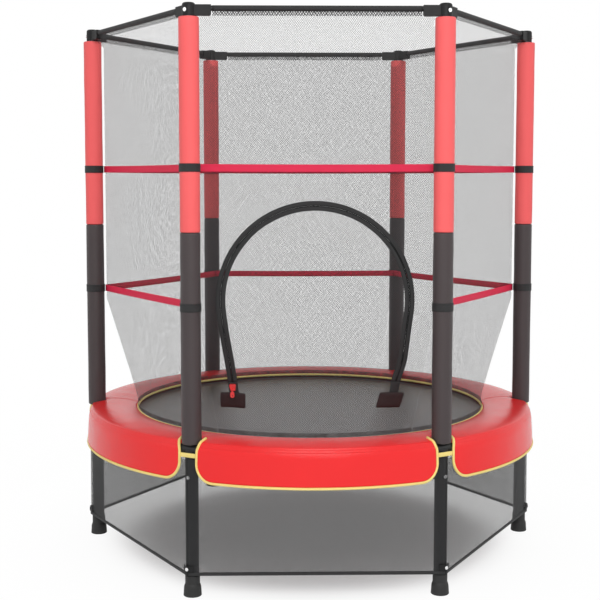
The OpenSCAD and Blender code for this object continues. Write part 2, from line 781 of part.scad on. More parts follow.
// The door's shape, grown by o all round and cut off below the height where the net draws in
module arch_outline(o) {
    intersection() {
        union() {
            translate([0, arch_z]) circle(r = arch_r + o, $fn = 120);
            polygon([
                [-arch_half(arch_foot_z, o), arch_foot_z], [arch_half(arch_foot_z, o), arch_foot_z],
                [(arch_r + o) * cos(arch_tangent), arch_z + (arch_r + o) * sin(arch_tangent)],
                [-(arch_r + o) * cos(arch_tangent), arch_z + (arch_r + o) * sin(arch_tangent)]
            ]);
        }
        translate([-2 * arch_r, net_join_z]) square([4 * arch_r, 2 * arch_r]);
    }
}

module net_door_side() {
    opening = zip_tape_w / 2 - 5;
    strip_rows = 2;
    color("#c8c8c8") {
        stand(net_flat, net_t) difference() {
            translate([-net_half(net_join_z), net_join_z])
                square([2 * net_half(net_join_z), net_top_z - net_join_z]);
            difference() {
                net_gaps();
                arch_outline(zip_tape_w / 2 + strand_w);
            }
            arch_outline(opening);
        }
        sheet(strand_lines(net_cols, strand_w / (2 * net_half(net_join_z)), 2),
            strand_lines(1, strand_w / (door_fold_z - net_bottom_z), 4),
            net_bottom_z, door_fold_z - seat,
            function (z) -net_half(z), function (z) net_half(z),
            function (x, z) net_depth(x, z), net_t);
        for (s = [-1, 1])
            sheet(strand_lines(1, strand_w / (net_half(net_join_z) - arch_r), 1),
                strand_lines(strip_rows, strand_w / (net_join_z - door_fold_z), 2),
                door_fold_z - seat, net_join_z,
                function (z) s < 0 ? -net_half(z) : arch_half(z, opening),
                function (z) s < 0 ? -arch_half(z, opening) : net_half(z),
                function (x, z) net_depth(x, z), net_t);
        net_hem();
    }
}

// The door's own net: a round top and a lower part that follows the net's curve
module door_panel() {
    edge = -zip_tape_w / 2 + 4;
    door_cols = 4;
    color("#c8c8c8") {
        stand(net_flat, net_t) difference() {
            arch_outline(edge);
            intersection() {
                net_gaps();
                arch_outline(-zip_tape_w / 2 - strand_w);
            }
        }
        sheet(strand_lines(door_cols, strand_w / (2 * arch_r), 1),
            strand_lines(1, strand_w / (net_join_z - door_fold_z), 4),
            door_fold_z, net_join_z,
            function (z) -arch_half(z, edge), function (z) arch_half(z, edge),
            function (x, z) net_depth(x, z), net_t);
    }
}

// A plain strip along one leg of the zip, from offset o0 to offset o1
module zip_strip(s, o0, o1, z0, z1, off, t) {
    sheet(plain_lines(1), plain_lines(8), z0, z1,
        function (z) s < 0 ? -arch_half(z, o1) : arch_half(z, o0),
        function (z) s < 0 ? -arch_half(z, o0) : arch_half(z, o1),
        function (x, z) net_depth(x, z) + off, t);
}

// The zip's outer half, its two lower ends and the covers over them
module zip_tape() {
    half_w = zip_tape_w / 2;
    color("#383838") {
        stand(net_flat + tape_off, tape_t) difference() {
            arch_outline(half_w);
            arch_outline(zip_gap / 2);
        }
        for (s = [-1, 1]) {
            zip_strip(s, zip_gap / 2, half_w, door_fold_z - seat, net_join_z, tape_off, tape_t);
            zip_strip(s, -half_w, half_w, flap_z, door_fold_z - seat, tape_off, tape_t);
        }
    }
    color("#2a2020") for (s = [-1, 1]) {
        mid = s * arch_half(flap_z, 0);
        sheet(plain_lines(6), plain_lines(4), flap_z - flap_h / 2, flap_z + flap_h / 2,
            function (z) mid - flap_w / 2, function (z) mid + flap_w / 2,
            function (x, z) net_depth(x, z) + flap_off, flap_t);
    }
}

module door_zip_tape() {
    half_w = zip_tape_w / 2;
    color("#383838") {
        stand(net_flat + tape_off, tape_t) difference() {
            arch_outline(-zip_gap / 2);
            arch_outline(-half_w);
        }
        for (s = [-1, 1])
            zip_strip(s, -half_w, -zip_gap / 2, door_fold_z, net_join_z, tape_off, tape_t);
    }
}

// The slider's own frame on the net: +X along it, -Y away from it, +Z up it
slider_yaw = -atan((net_depth(slider_x + 1, slider_z) - net_depth(slider_x - 1, slider_z)) / 2);
slider_tilt = atan((net_depth(slider_x, slider_z + 1) - net_depth(slider_x, slider_z - 1)) / 2);
module on_slider() {
    translate([slider_x, -net_depth(slider_x, slider_z), slider_z])
        rotate([0, 0, slider_yaw]) rotate([slider_tilt, 0, 0])
            children();
}

module zip_slider() {
    foot_w = slider_w * 0.72;
    corner = 2.5;
    color("#e03030") on_slider() difference() {
        union() {
            translate([0, -slider_off, 0]) rotate([90, 0, 0]) linear_extrude(slider_t)
                polygon([
                    [-foot_w / 2, -slider_h / 2], [foot_w / 2, -slider_h / 2],
                    [slider_w / 2, slider_h / 2 - corner], [slider_w / 2 - corner, slider_h / 2],
                    [-slider_w / 2 + corner, slider_h / 2], [-slider_w / 2, slider_h / 2 - corner]
                ]);
            for (s = [-1, 1])
                translate([s * (ear_gap + ear_t) / 2 - ear_t / 2, -pin_off, -pin_drop])
                    rotate([0, 90, 0]) union() {
                        cylinder(h = ear_t, r = pin_r + 1.2, $fn = 24);
                        translate([-pin_r - 1.2, 0, 0]) cube([2 * pin_r + 2.4, 3.2, ear_t]);
                    }
            translate([-ear_gap / 2 - ear_t, -pin_off, -pin_drop]) rotate([0, 90, 0])
                cylinder(h = ear_gap + 2 * ear_t, r = pin_r, $fn = 24);
        }
        translate([0, -slider_off - slider_t - 1, slider_h / 4]) rotate([-90, 0, 0])
            cylinder(h = 2.5, d = slider_w / 3, $fn = 24);
    }
}

module zip_pull() {
    eye_w = ear_gap - 2 * seat;
    eye_r = pin_r + pin_fit + 1;
    hole_d = 4;
    color("#e03030") on_slider() translate([0, -pin_off, -pin_drop])
    rotate([-slider_tilt, 0, 0]) difference() {
        union() {
            translate([-eye_w / 2, 0, 0]) rotate([0, 90, 0]) cylinder(h = eye_w, r = eye_r, $fn = 24);
            translate([-eye_w / 2, -pull_t / 2, -pull_neck - 1]) cube([eye_w, pull_t, pull_neck + 1]);
            translate([0, pull_t / 2, 0]) rotate([90, 0, 0]) linear_extrude(pull_t) difference() {
                polygon([
                    [-eye_w / 2, -pull_neck], [eye_w / 2, -pull_neck],
                    [pull_w / 2, -pull_shoulder],
                    [pull_w / 2, -pull_len + 3], [pull_w / 2 - 3, -pull_len],
                    [-pull_w / 2 + 3, -pull_len], [-pull_w / 2, -pull_len + 3],
                    [-pull_w / 2, -pull_shoulder]
                ]);
                translate([0, -pull_len + 5]) circle(d = hole_d, $fn = 24);
            }
        }
        translate([-eye_w, 0, 0]) rotate([0, 90, 0])
            cylinder(h = 2 * eye_w, r = pin_r + pin_fit, $fn = 24);
    }
}

// A strap along one side of the net, up to the bands at the uprights
module strap(k, z) {
    n = net_outer + seat;
    half = n * tan(side_turn / 2) - corner_gap;
    on_side(k) translate([-half, -n - strap_t, z - strap_h / 2])
        cube([2 * half, strap_t, strap_h]);
}

module net_straps() {
    color("#dd2a55") {
        for (k = [1 : sides]) strap(k, upper_strap_z);
        for (k = [2 : sides]) strap(k, lower_strap_z);
    }
}

module pole_bands() {
    band_r = foam_d / 2 + seat + band_t;
    color("#1c1c1c") for (k = [1 : sides], z = [upper_strap_z, lower_strap_z])
        at_upright(k) tube(z - band_h / 2, z + band_h / 2, band_r, band_t);
}

module skirt_net() {
    hem_n = skirt_net_flat + net_t / 2;
    hem_tan = tan(side_turn / 2);
    color("#5a5a5a") for (k = [1 : sides]) on_side(k) {
        sheet(strand_lines(skirt_cols, strand_w / skirt_net_r, 2),
            strand_lines(skirt_rows, strand_w / (skirt_net_top_z - skirt_net_bottom_z), 1),
            skirt_net_bottom_z, skirt_net_top_z,
            function (z) -skirt_half(z), function (z) skirt_half(z),
            function (x, z) skirt_depth(x, z), net_t);
        translate([0, 0, hem_z]) linear_extrude(hem_h) polygon([
            for (p = [[-1, -0.5], [1, -0.5], [1, 0.5], [-1, 0.5]])
                let (n = hem_n + p[1] * hem_t) [p[0] * (n * hem_tan - corner_gap), -n]
        ]);
    }
}

// A curved plate on the outside of each leg that holds the hem cord up
module hem_brackets() {
    half_turn = 28;
    color("#1d1d1d") for (k = [1 : sides]) at_upright(k) difference() {
        translate([0, 0, skirt_net_bottom_z + seat]) rotate([0, 0, -half_turn])
            rotate_extrude(angle = 2 * half_turn)
                translate([leg_r + small, 0]) square([bracket_t, bracket_h]);
        screw_hole(low_screw_z, leg_d);
        translate([leg_r + bracket_t - screw_head_h, 0, low_screw_z]) rotate([0, 90, 0])
            cylinder(h = leg_d, d = screw_head_d + 2 * plug_fit, $fn = 24);
    }
}

// Lower screws sit flush in the brackets; the others stand on the legs and the caps
module screws() {
    shank = 8;
    color("#d8d8d8") for (k = [1 : sides]) at_upright(k) {
        for (s = [[low_screw_z, leg_r + bracket_t - screw_head_h], [high_screw_z, leg_r],
                [cap_screw_z, cap_d / 2]])
            translate([s[1], 0, s[0]]) rotate([0, 90, 0]) {
                cylinder(h = screw_head_h - seat, d = screw_head_d, $fn = 32);
                translate([0, 0, -shank]) cylinder(h = shank, d = screw_d, $fn = 24);
            }
    }
}

leg(1);  // leg_1
leg(2);  // leg_2
leg(3);  // leg_3
leg(4);  // leg_4
leg(5);  // leg_5
leg(6);  // leg_6
rubber_feet();
frame_arc(1);  // frame_arc_1
frame_arc(2);  // frame_arc_2
frame_arc(3);  // frame_arc_3
frame_arc(4);  // frame_arc_4
frame_arc(5);  // frame_arc_5
frame_arc(6);  // frame_arc_6
pole(1);  // pole_1
pole(2);  // pole_2
pole(3);  // pole_3
pole(4);  // pole_4
pole(5);  // pole_5
pole(6);  // pole_6
foam_lower(1);  // foam_lower_1
foam_lower(2);  // foam_lower_2
foam_lower(3);  // foam_lower_3
foam_lower(4);  // foam_lower_4
foam_lower(5);  // foam_lower_5
foam_lower(6);  // foam_lower_6
foam_upper(1);  // foam_upper_1
foam_upper(2);  // foam_upper_2
foam_upper(3);  // foam_upper_3
foam_upper(4);  // foam_upper_4
foam_upper(5);  // foam_upper_5
foam_upper(6);  // foam_upper_6
corner_cap(1);  // corner_cap_1
corner_cap(2);  // corner_cap_2
corner_cap(3);  // corner_cap_3
corner_cap(4);  // corner_cap_4
corner_cap(5);  // corner_cap_5
corner_cap(6);  // corner_cap_6
top_rail(1);  // top_rail_1
top_rail(2);  // top_rail_2
top_rail(3);  // top_rail_3
top_rail(4);  // top_rail_4
top_rail(5);  // top_rail_5
top_rail(6);  // top_rail_6
jump_mat();
mat_rings();
elastic_loops();
safety_pad();
pad_piping();
enclosure_net();
net_door_side();
door_panel();
zip_tape();
door_zip_tape();
zip_slider();
zip_pull();
net_straps();
pole_bands();
skirt_net();
hem_brackets();
screws();
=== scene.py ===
import math

import bpy
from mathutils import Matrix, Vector, noise


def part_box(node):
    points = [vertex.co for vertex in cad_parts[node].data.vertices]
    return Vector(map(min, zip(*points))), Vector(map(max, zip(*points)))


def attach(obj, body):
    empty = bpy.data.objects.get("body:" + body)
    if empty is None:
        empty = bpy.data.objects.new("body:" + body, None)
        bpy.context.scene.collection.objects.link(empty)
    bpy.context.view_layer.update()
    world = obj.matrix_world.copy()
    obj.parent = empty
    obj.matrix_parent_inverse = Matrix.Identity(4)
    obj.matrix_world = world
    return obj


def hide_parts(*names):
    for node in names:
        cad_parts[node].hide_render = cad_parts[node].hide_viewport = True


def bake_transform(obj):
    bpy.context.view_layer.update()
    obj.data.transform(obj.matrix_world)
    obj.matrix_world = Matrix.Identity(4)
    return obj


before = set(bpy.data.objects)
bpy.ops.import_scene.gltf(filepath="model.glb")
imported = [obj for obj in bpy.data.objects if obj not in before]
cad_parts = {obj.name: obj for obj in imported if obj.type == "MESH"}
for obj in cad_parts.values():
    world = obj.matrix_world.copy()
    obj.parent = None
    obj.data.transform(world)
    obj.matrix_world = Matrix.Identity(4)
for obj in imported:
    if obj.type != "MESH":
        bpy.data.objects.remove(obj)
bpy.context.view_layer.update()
scene = bpy.context.scene
tau = 2 * math.pi


def middle(node):
    lo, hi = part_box(node)
    return (lo + hi) / 2


def span(node):
    lo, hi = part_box(node)
    return hi - lo


# Places and sizes that the frame gives
posts = [middle("foam_upper_%d" % k) for k in range(1, 7)]
postTurns = [math.atan2(p.y, p.x) for p in posts]
postCircle = Vector((posts[0].x, posts[0].y)).length
foamRadius = span("foam_upper_3").x / 2
ringZ = middle("frame_arc_1").z
ringRadius = span("frame_arc_1").z / 2
legRadius = span("leg_3").x / 2
railZ = middle("top_rail_1").z
railRadius = span("top_rail_1").z / 2
sideTurn = math.radians(60)
seat = 0.0003  # the gap between a piece and what it rests on


# Materials
def newMaterial(name, color, rough=0.5, metal=0.0, spec=0.5):
    mat = bpy.data.materials.new(name)
    mat.use_nodes = True
    bsdf = mat.node_tree.nodes["Principled BSDF"]
    bsdf.inputs["Base Color"].default_value = (*color, 1)
    bsdf.inputs["Roughness"].default_value = rough
    bsdf.inputs["Metallic"].default_value = metal
    bsdf.inputs["Specular IOR Level"].default_value = spec
    return mat


def node(mat, kind, **values):
    made = mat.node_tree.nodes.new(kind)
    for key, value in values.items():
        if hasattr(made, key):
            setattr(made, key, value)
        else:
            made.inputs[key].default_value = value
    return made


def link(mat, a, b):
    mat.node_tree.links.new(a, b)


def mathNode(mat, what, a, b=None):
    made = node(mat, "ShaderNodeMath", operation=what)
    for slot, value in ((0, a), (1, b)):
        if value is None:
            continue
        if isinstance(value, (int, float)):
            made.inputs[slot].default_value = value
        else:
            link(mat, value, made.inputs[slot])
    return made.outputs[0]


def coords(mat, kind="Object"):
    return node(mat, "ShaderNodeTexCoord").outputs[kind]


def shaderOf(mat):
    return mat.node_tree.nodes["Principled BSDF"]


def noiseOf(mat, scale, detail, where="Object"):
    made = node(mat, "ShaderNodeTexNoise", Scale=scale, Detail=detail)
    link(mat, coords(mat, where), made.inputs["Vector"])
    return made


# Slow colour change over a surface
def mottle(mat, color, scale, amount):
    mix = node(mat, "ShaderNodeMix", data_type="RGBA")
    for slot in mix.inputs:
        if slot.type == "RGBA" and slot.name == "A":
            slot.default_value = (*[c * (1 - amount) for c in color], 1)
        if slot.type == "RGBA" and slot.name == "B":
            slot.default_value = (*[min(1, c * (1 + amount)) for c in color], 1)
    link(mat, noiseOf(mat, scale, 4.0).outputs["Fac"], mix.inputs[0])
    out = [o for o in mix.outputs if o.type == "RGBA"][0]
    link(mat, out, shaderOf(mat).inputs["Base Color"])


# Slow change of shine between two roughnesses
def roughen(mat, scale, low, high):
    ramp = node(mat, "ShaderNodeMapRange")
    ramp.inputs["To Min"].default_value = low
    ramp.inputs["To Max"].default_value = high
    link(mat, noiseOf(mat, scale, 5.0).outputs["Fac"], ramp.inputs["Value"])
    link(mat, ramp.outputs[0], shaderOf(mat).inputs["Roughness"])


# One more layer of height, in metres, over any bump already there
def bump(mat, height, depth):
    normal = shaderOf(mat).inputs["Normal"]
    made = node(mat, "ShaderNodeBump", Strength=1.0, Distance=depth)
    link(mat, height, made.inputs["Height"])
    if normal.links:
        link(mat, normal.links[0].from_socket, made.inputs["Normal"])
    link(mat, made.outputs["Normal"], normal)


def grain(mat, scale, depth):
    bump(mat, noiseOf(mat, scale, 3.0).outputs["Fac"], depth)


# Over and under threads on the piece's own map, which is in metres
def weave(mat, cell, depth):
    split = node(mat, "ShaderNodeSeparateXYZ")
    link(mat, coords(mat, "UV"), split.inputs[0])
    u = mathNode(mat, "SINE", mathNode(mat, "MULTIPLY", split.outputs[0], tau / cell))
    v = mathNode(mat, "SINE", mathNode(mat, "MULTIPLY", split.outputs[1], tau / cell))
    bump(mat, mathNode(mat, "MULTIPLY", u, v), depth)


# Fine lines along a drawn tube
def brushedLines(mat, scale, depth):
    tex = node(mat, "ShaderNodeTexNoise", Scale=scale, Detail=2.0)
    stretch = node(mat, "ShaderNodeMapping")
    stretch.inputs["Scale"].default_value = (1, 1, 0.02)
    link(mat, coords(mat), stretch.inputs["Vector"])
    link(mat, stretch.outputs[0], tex.inputs["Vector"])
    bump(mat, tex.outputs["Fac"], depth)


# Light that comes through thin webbing from behind
def glow(mat, color, share):
    through = node(mat, "ShaderNodeBsdfTranslucent")
    through.inputs["Color"].default_value = (*color, 1)
    mixed = node(mat, "ShaderNodeMixShader", Fac=share)
    link(mat, shaderOf(mat).outputs[0], mixed.inputs[1])
    link(mat, through.outputs[0], mixed.inputs[2])
    link(mat, mixed.outputs[0], mat.node_tree.nodes["Material Output"].inputs["Surface"])


# The knit is never quite even, so its threads drift a little: the drift is in cells
knit = {"color": (0.012, 0.012, 0.013), "rough": 0.6, "stretch": 1.35, "drift": 1.3, "driftScale": 24.0}


# A knitted net on the piece's own map: crossing threads with open holes between them
def netting(name, cell, cover):
    mat = newMaterial(name, knit["color"], knit["rough"])
    shift = node(mat, "ShaderNodeVectorMath", operation="MULTIPLY_ADD")
    link(mat, noiseOf(mat, knit["driftScale"], 2.0, "UV").outputs["Color"], shift.inputs[0])
    shift.inputs[1].default_value = (cell * knit["drift"], cell * knit["drift"], 0)
    link(mat, coords(mat, "UV"), shift.inputs[2])
    split = node(mat, "ShaderNodeSeparateXYZ")
    link(mat, shift.outputs[0], split.inputs[0])
    half = (1 - math.sqrt(1 - cover)) / 2
    across = mathNode(mat, "DIVIDE", split.outputs[0], cell)
    along = mathNode(mat, "DIVIDE", split.outputs[1], cell * knit["stretch"])
    threads = []
    for what in ("ADD", "SUBTRACT"):
        line = mathNode(mat, "PINGPONG", mathNode(mat, what, across, along), 0.5)
        threads.append(mathNode(mat, "LESS_THAN", line, half))
    link(mat, mathNode(mat, "MAXIMUM", *threads), shaderOf(mat).inputs["Alpha"])
    mat.diffuse_color = (*knit["color"], 0.5)
    return mat


# A material with a real surface's unevenness: colour drift (scale, share), shine drift (scale, lowest,
# highest), grain (scale, depth) and weave (cell, depth)
def surface(name, color, rough, metal=0.0, spec=0.5, drift=None, shine=None, grained=None, woven=None):
    mat = newMaterial(name, color, rough, metal, spec)
    if drift:
        mottle(mat, color, *drift)
    if shine:
        roughen(mat, *shine)
    if grained:
        grain(mat, *grained)
    if woven:
        weave(mat, *woven)
    return mat


black = (0.0085, 0.0085, 0.009)
steel = surface(
    "blackSteel", black, 0.42, spec=0.38,
    drift=(30, 0.12), shine=(60, 0.36, 0.5), grained=(900, 0.00004),
)
capPlastic = surface(
    "capPlastic", black, 0.5, spec=0.25,
    drift=(40, 0.1), shine=(90, 0.45, 0.58), grained=(1400, 0.00005),
)
rubber = surface(
    "footRubber", (0.02, 0.02, 0.02), 0.62, spec=0.4,
    drift=(50, 0.2), shine=(70, 0.55, 0.72), grained=(700, 0.00006),
)
zinc = surface("zincTube", (0.55, 0.56, 0.57), 0.35, metal=1.0, shine=(120, 0.28, 0.42))
brushedLines(zinc, 600, 0.00003)
wire = surface("zincWire", (0.6, 0.6, 0.6), 0.3, metal=1.0, shine=(200, 0.25, 0.4), grained=(800, 0.00003))
screwZinc = surface(
    "zincScrew", (0.78, 0.78, 0.78), 0.25, metal=1.0, shine=(300, 0.2, 0.36), grained=(900, 0.00003),
)
redPlastic = surface(
    "redPlastic", (0.72, 0.035, 0.035), 0.32,
    drift=(80, 0.06), shine=(150, 0.28, 0.38), grained=(1200, 0.00003),
)
redFoam = surface(
    "redFoamCover", (0.92, 0.134, 0.136), 0.48, spec=0.22,
    drift=(5, 0.035), shine=(25, 0.42, 0.54), grained=(38, 0.0006), woven=(0.0008, 0.00006),
)
darkFoam = surface(
    "darkFoamCover", (0.055, 0.042, 0.043), 0.45, spec=0.34,
    drift=(5, 0.06), shine=(25, 0.4, 0.5), grained=(38, 0.0006), woven=(0.0008, 0.00006),
)
vinyl = surface(
    "padVinyl", (0.88, 0.022, 0.024), 0.24, spec=0.3,
    drift=(6, 0.04), shine=(30, 0.18, 0.3), grained=(22, 0.0014), woven=(0.0011, 0.00003),
)
piping = surface(
    "yellowPiping", (1.0, 0.76, 0.24), 0.45,
    drift=(60, 0.07), shine=(60, 0.4, 0.55), woven=(0.0012, 0.0001),
)
matCloth = surface(
    "matCloth", (0.12, 0.117, 0.12), 0.2, spec=0.7,
    drift=(14, 0.12), shine=(20, 0.12, 0.19), woven=(0.0032, 0.00012),
)
elastic = surface("elasticCord", (0.022, 0.022, 0.022), 0.6, drift=(90, 0.25), woven=(0.0016, 0.00018))
tapeBlack = surface(
    "blackTape", (0.016, 0.016, 0.0165), 0.6, spec=0.4, drift=(40, 0.15), woven=(0.0018, 0.0002),
)
coilBlack = surface(
    "zipCoil", (0.008, 0.008, 0.0085), 0.75, spec=0.15, drift=(60, 0.2), grained=(900, 0.00005),
)
coverCloth = surface(
    "coverCloth", (0.021, 0.0085, 0.009), 0.62, spec=0.35, drift=(50, 0.25), woven=(0.0012, 0.00016),
)
strapRed = surface("strapWebbing", (0.97, 0.04, 0.13), 0.5, drift=(40, 0.08), woven=(0.0022, 0.00028))
glow(strapRed, (1.0, 0.06, 0.15), 0.4)
hemCloth = surface("netHem", (0.02, 0.02, 0.0205), 0.65, spec=0.4, drift=(60, 0.2), woven=(0.0014, 0.00016))

# Each net's cell in metres and the share of it that its threads cover
netMesh = netting("safetyNet", 0.0048, 0.28)
edgeMesh = netting("netEdge", 0.007, 0.58)
hemMesh = netting("netFoot", 0.0036, 0.4)
skirtMesh = netting("skirtNet", 0.0014, 0.6)

print("materials made")


# Places round the middle
def up(z):
    return Vector((0, 0, z))


def atTurn(a, r, z):
    return Vector((r * math.cos(a), r * math.sin(a), z))


# The ways straight out and sideways at a turn
def directions(a):
    out = Vector((math.cos(a), math.sin(a), 0))
    return out, Vector((-out.y, out.x, 0))


# Mesh helpers
def addMesh(name, verts, faces, mat, body=None, uvs=None, smooth=True):
    mesh = bpy.data.meshes.new(name)
    mesh.from_pydata([tuple(v) for v in verts], [], faces)
    if uvs:
        layer = mesh.uv_layers.new(name="UVMap")
        for loop in mesh.loops:
            layer.data[loop.index].uv = uvs[loop.vertex_index]
    for p in mesh.polygons:
        p.use_smooth = smooth
    mesh.materials.append(mat)
    obj = bpy.data.objects.new(name, mesh)
    scene.collection.objects.link(obj)
    if body:
        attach(obj, body)
    return obj


def gridFaces(rows, cols, keep=None, wrap=False):
    faces = []
    for j in range(rows - 1):
        for i in range(cols if wrap else cols - 1):
            if keep and not keep(j, i):
                continue
            n = (i + 1) % cols
            faces.append((j * cols + i, j * cols + n, (j + 1) * cols + n, (j + 1) * cols + i))
    return faces


# Drops the corners that no face uses
def compact(verts, faces, uvs):
    used = sorted({i for f in faces for i in f})
    place = {old: new for new, old in enumerate(used)}
    return (
        [verts[i] for i in used],
        [tuple(place[i] for i in f) for f in faces],
        [uvs[i] for i in used],
    )


# Sweeps a closed section, drawn as (side, out) pairs, along points in the frame. Outward is one
# direction, or a function of the point
def sweep(name, path, section, mat, body=None, closed=False, outward=None):
    n = len(path)
    verts, uvs = [], []
    around = len(section)
    girth = [0.0]
    for a, b in zip(section, section[1:] + section[:1]):
        girth.append(girth[-1] + math.dist(a, b))
    run = 0.0
    for i, p in enumerate(path):
        before = path[i - 1] if i or closed else p
        after = path[(i + 1) % n] if i < n - 1 or closed else p
        along = (after - before).normalized()
        if outward is None:
            out = Vector((p.x, p.y, 0)).normalized()
        else:
            out = outward(p) if callable(outward) else outward
        side = along.cross(out).normalized()
        out = side.cross(along).normalized()
        if i:
            run += (p - path[i - 1]).length
        for j, (a, b) in enumerate(section):
            verts.append(p + side * a + out * b)
            uvs.append((run, girth[j]))
    faces = []
    for i in range(n if closed else n - 1):
        for j in range(around):
            a, b = i * around + j, i * around + (j + 1) % around
            c, d = ((i + 1) % n) * around + (j + 1) % around, ((i + 1) % n) * around + j
            faces.append((a, b, c, d))
    if not closed:
        faces.append(tuple(range(around))[::-1])
        faces.append(tuple((n - 1) * around + j for j in range(around)))
    return addMesh(name, verts, faces, mat, body, uvs)


def roundSection(radius, count=12):
    return [(radius * math.cos(tau * j / count), radius * math.sin(tau * j / count)) for j in range(count)]


# A flat tape's section: its width, and how far its two faces stand out
def tapeSection(width, low, high, bevel=0.0004):
    w = width / 2
    return [
        (-w + bevel, low), (w - bevel, low), (w, low + bevel), (w, high - bevel),
        (w - bevel, high), (0, high), (-w + bevel, high), (-w, high - bevel), (-w, low + bevel),
    ]


# Turns a closed (radius, height) profile round an upright axis
def lathe(name, profile, mat, body=None, centre=(0, 0), cols=64, wobble=None):
    verts, uvs = [], []
    girth = [0.0]
    for a, b in zip(profile, profile[1:]):
        girth.append(girth[-1] + math.dist(a, b))
    for j, (r, z) in enumerate(profile):
        for i in range(cols):
            a = tau * i / cols
            p = Vector((centre[0] + r * math.cos(a), centre[1] + r * math.sin(a), z))
            if wobble:
                p = wobble(p, a, j)
            verts.append(p)
            uvs.append((a * max(r, 0.001), girth[j]))
    rows = len(profile)
    faces = gridFaces(rows, cols, wrap=True)
    last = (rows - 1) * cols
    for i in range(cols):
        faces.append((last + i, last + (i + 1) % cols, (i + 1) % cols, i))
    return addMesh(name, verts, faces, mat, body, uvs)


# Rigid pieces
cadLooks = {
    "leg": steel, "frame_arc": steel, "top_rail": steel, "corner_cap": capPlastic, "pole_": zinc,
    "rubber_feet": rubber, "mat_rings": wire, "zip_slider": redPlastic, "zip_pull": redPlastic,
    "hem_brackets": capPlastic, "screws": screwZinc,
}
for name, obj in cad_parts.items():
    for start, mat in cadLooks.items():
        if name.startswith(start):
            obj.data.materials.clear()
            obj.data.materials.append(mat)
print("frame dressed")

# Foam sleeves
foam = {
    "endRound": 0.0035, "swell": 0.0006, "bore": span("pole_1").x / 2 + seat, "steps": 46, "cols": 40,
    "ripples": 1.3, "ripplesUp": 14, "apart": 7,
}


def foamSleeve(name, cadNode, mat, seed):
    lo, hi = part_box(cadNode)
    r, e, bore = foamRadius, foam["endRound"], foam["bore"]
    bend = [math.pi / 2 * i / 4 for i in range(5)]
    outer = [(r - e + e * math.sin(a), lo.z + e - e * math.cos(a)) for a in bend]
    for i in range(1, foam["steps"]):
        outer.append((r, lo.z + e + (hi.z - lo.z - 2 * e) * i / foam["steps"]))
    outer += [(r - e + e * math.cos(a), hi.z - e + e * math.sin(a)) for a in bend]
    profile = [(bore, lo.z)] + outer + [(bore, hi.z)]
    centre = ((lo.x + hi.x) / 2, (lo.y + hi.y) / 2)

    def wobble(p, a, j):
        if j in (0, len(profile) - 1):
            return p
        d = Vector((p.x - centre[0], p.y - centre[1], 0)).normalized()
        x, y = math.cos(a) * foam["ripples"] + seed * foam["apart"], math.sin(a) * foam["ripples"]
        n = noise.noise(Vector((x, y, p.z * foam["ripplesUp"])))
        return p + d * (foam["swell"] * (n - 0.5))

    obj = lathe(name, profile, mat, "frame", centre, foam["cols"], wobble)
    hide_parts(cadNode)
    return obj


for k in range(1, 7):
    low = foamSleeve("darkFoam%d" % k, "foam_lower_%d" % k, darkFoam, k)
    high = foamSleeve("redFoam%d" % k, "foam_upper_%d" % k, redFoam, k + 6)
print("foam made")

# The net's shape
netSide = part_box("net_door_side")
net = {
    "corner": 2 * (netSide[1].x + 0.001), "footRadius": 0.5415, "joinZ": 0.756, "footZ": 0.4245,
    "topZ": 1.532, "hangZ": netSide[1].z, "thick": 0.0012, "gap": 0.001, "cols": 81, "footRows": 44,
    "rowHeight": 0.009, "middleHalf": 0.215, "middleBlend": 0.05, "slack": 0.0035,
    "hemHeight": 0.012, "hemThick": 0.001, "hemOff": 0.0005,
}
net["flat"] = net["corner"] * math.cos(sideTurn / 2)
railDepth = postCircle * math.cos(sideTurn / 2)
capReach = 0.059
postX = postCircle * math.sin(sideTurn / 2)
net["hangHalf"] = postX - capReach - 0.003
net["leanHalf"] = postX - foamRadius - 2 * seat
net["bendZ"] = railZ - railRadius - seat - 0.014
door = {
    "radius": 0.2558, "centreZ": 0.8035, "footX": 0.226, "footZ": 0.556, "foldZ": 0.577, "tape": 0.0265,
    "tuck": 0.010, "tuckZ": 0.65, "tuckRise": 0.085, "shift": 0.0037, "shiftZ": 0.6, "shiftRise": 0.15,
    "cut": 0.0065, "foldGap": 0.002, "legSteps": 40, "archSteps": 150,
}


def smooth(u):
    u = min(1, max(0, u))
    return u * u * (3 - 2 * u)


# How round the net is at a height: its corners draw in evenly, the middles of its sides softly
def netRound(z, x=1):
    u = min(1, max(0, (net["joinZ"] - z) / (net["joinZ"] - net["footZ"])))
    h = (net["corner"] + (net["footRadius"] - net["corner"]) * u) / 2
    cornerDepth = math.sqrt(net["footRadius"] ** 2 - h * h)
    even = (net["flat"] - h / math.tan(sideTurn / 2)) / (net["flat"] - cornerDepth)
    return smooth(u) + smooth((abs(x) - net["middleHalf"]) / net["middleBlend"]) * (even - smooth(u))


def netDepth(x, z):
    w = netRound(z, x)
    return (1 - w) * net["flat"] + w * math.sqrt(net["footRadius"] ** 2 - x * x)


# Half the width of a side that is w of the way from a flat one to a round one
def sideHalf(w, flat, roundR):
    k = 1 / math.tan(sideTurn / 2)
    b, q = (1 - w) * flat, w * w
    a = k * k + q
    return (k * b + math.sqrt(k * k * b * b - a * (b * b - q * roundR ** 2))) / a


def netHalf(z):
    return sideHalf(netRound(z), net["flat"], net["footRadius"]) - net["gap"]


footDz = door["footZ"] - door["centreZ"]
footReach = math.hypot(door["footX"], footDz)
door["tangent"] = math.atan2(footDz, door["footX"]) + math.acos(door["radius"] / footReach)
door["slope"] = -math.tan(door["tangent"])


# Half the door's width below its round top, o outside the zip line
def doorHalf(z, o):
    return door["footX"] + (z - door["footZ"]) * door["slope"] + o / math.cos(door["tangent"])


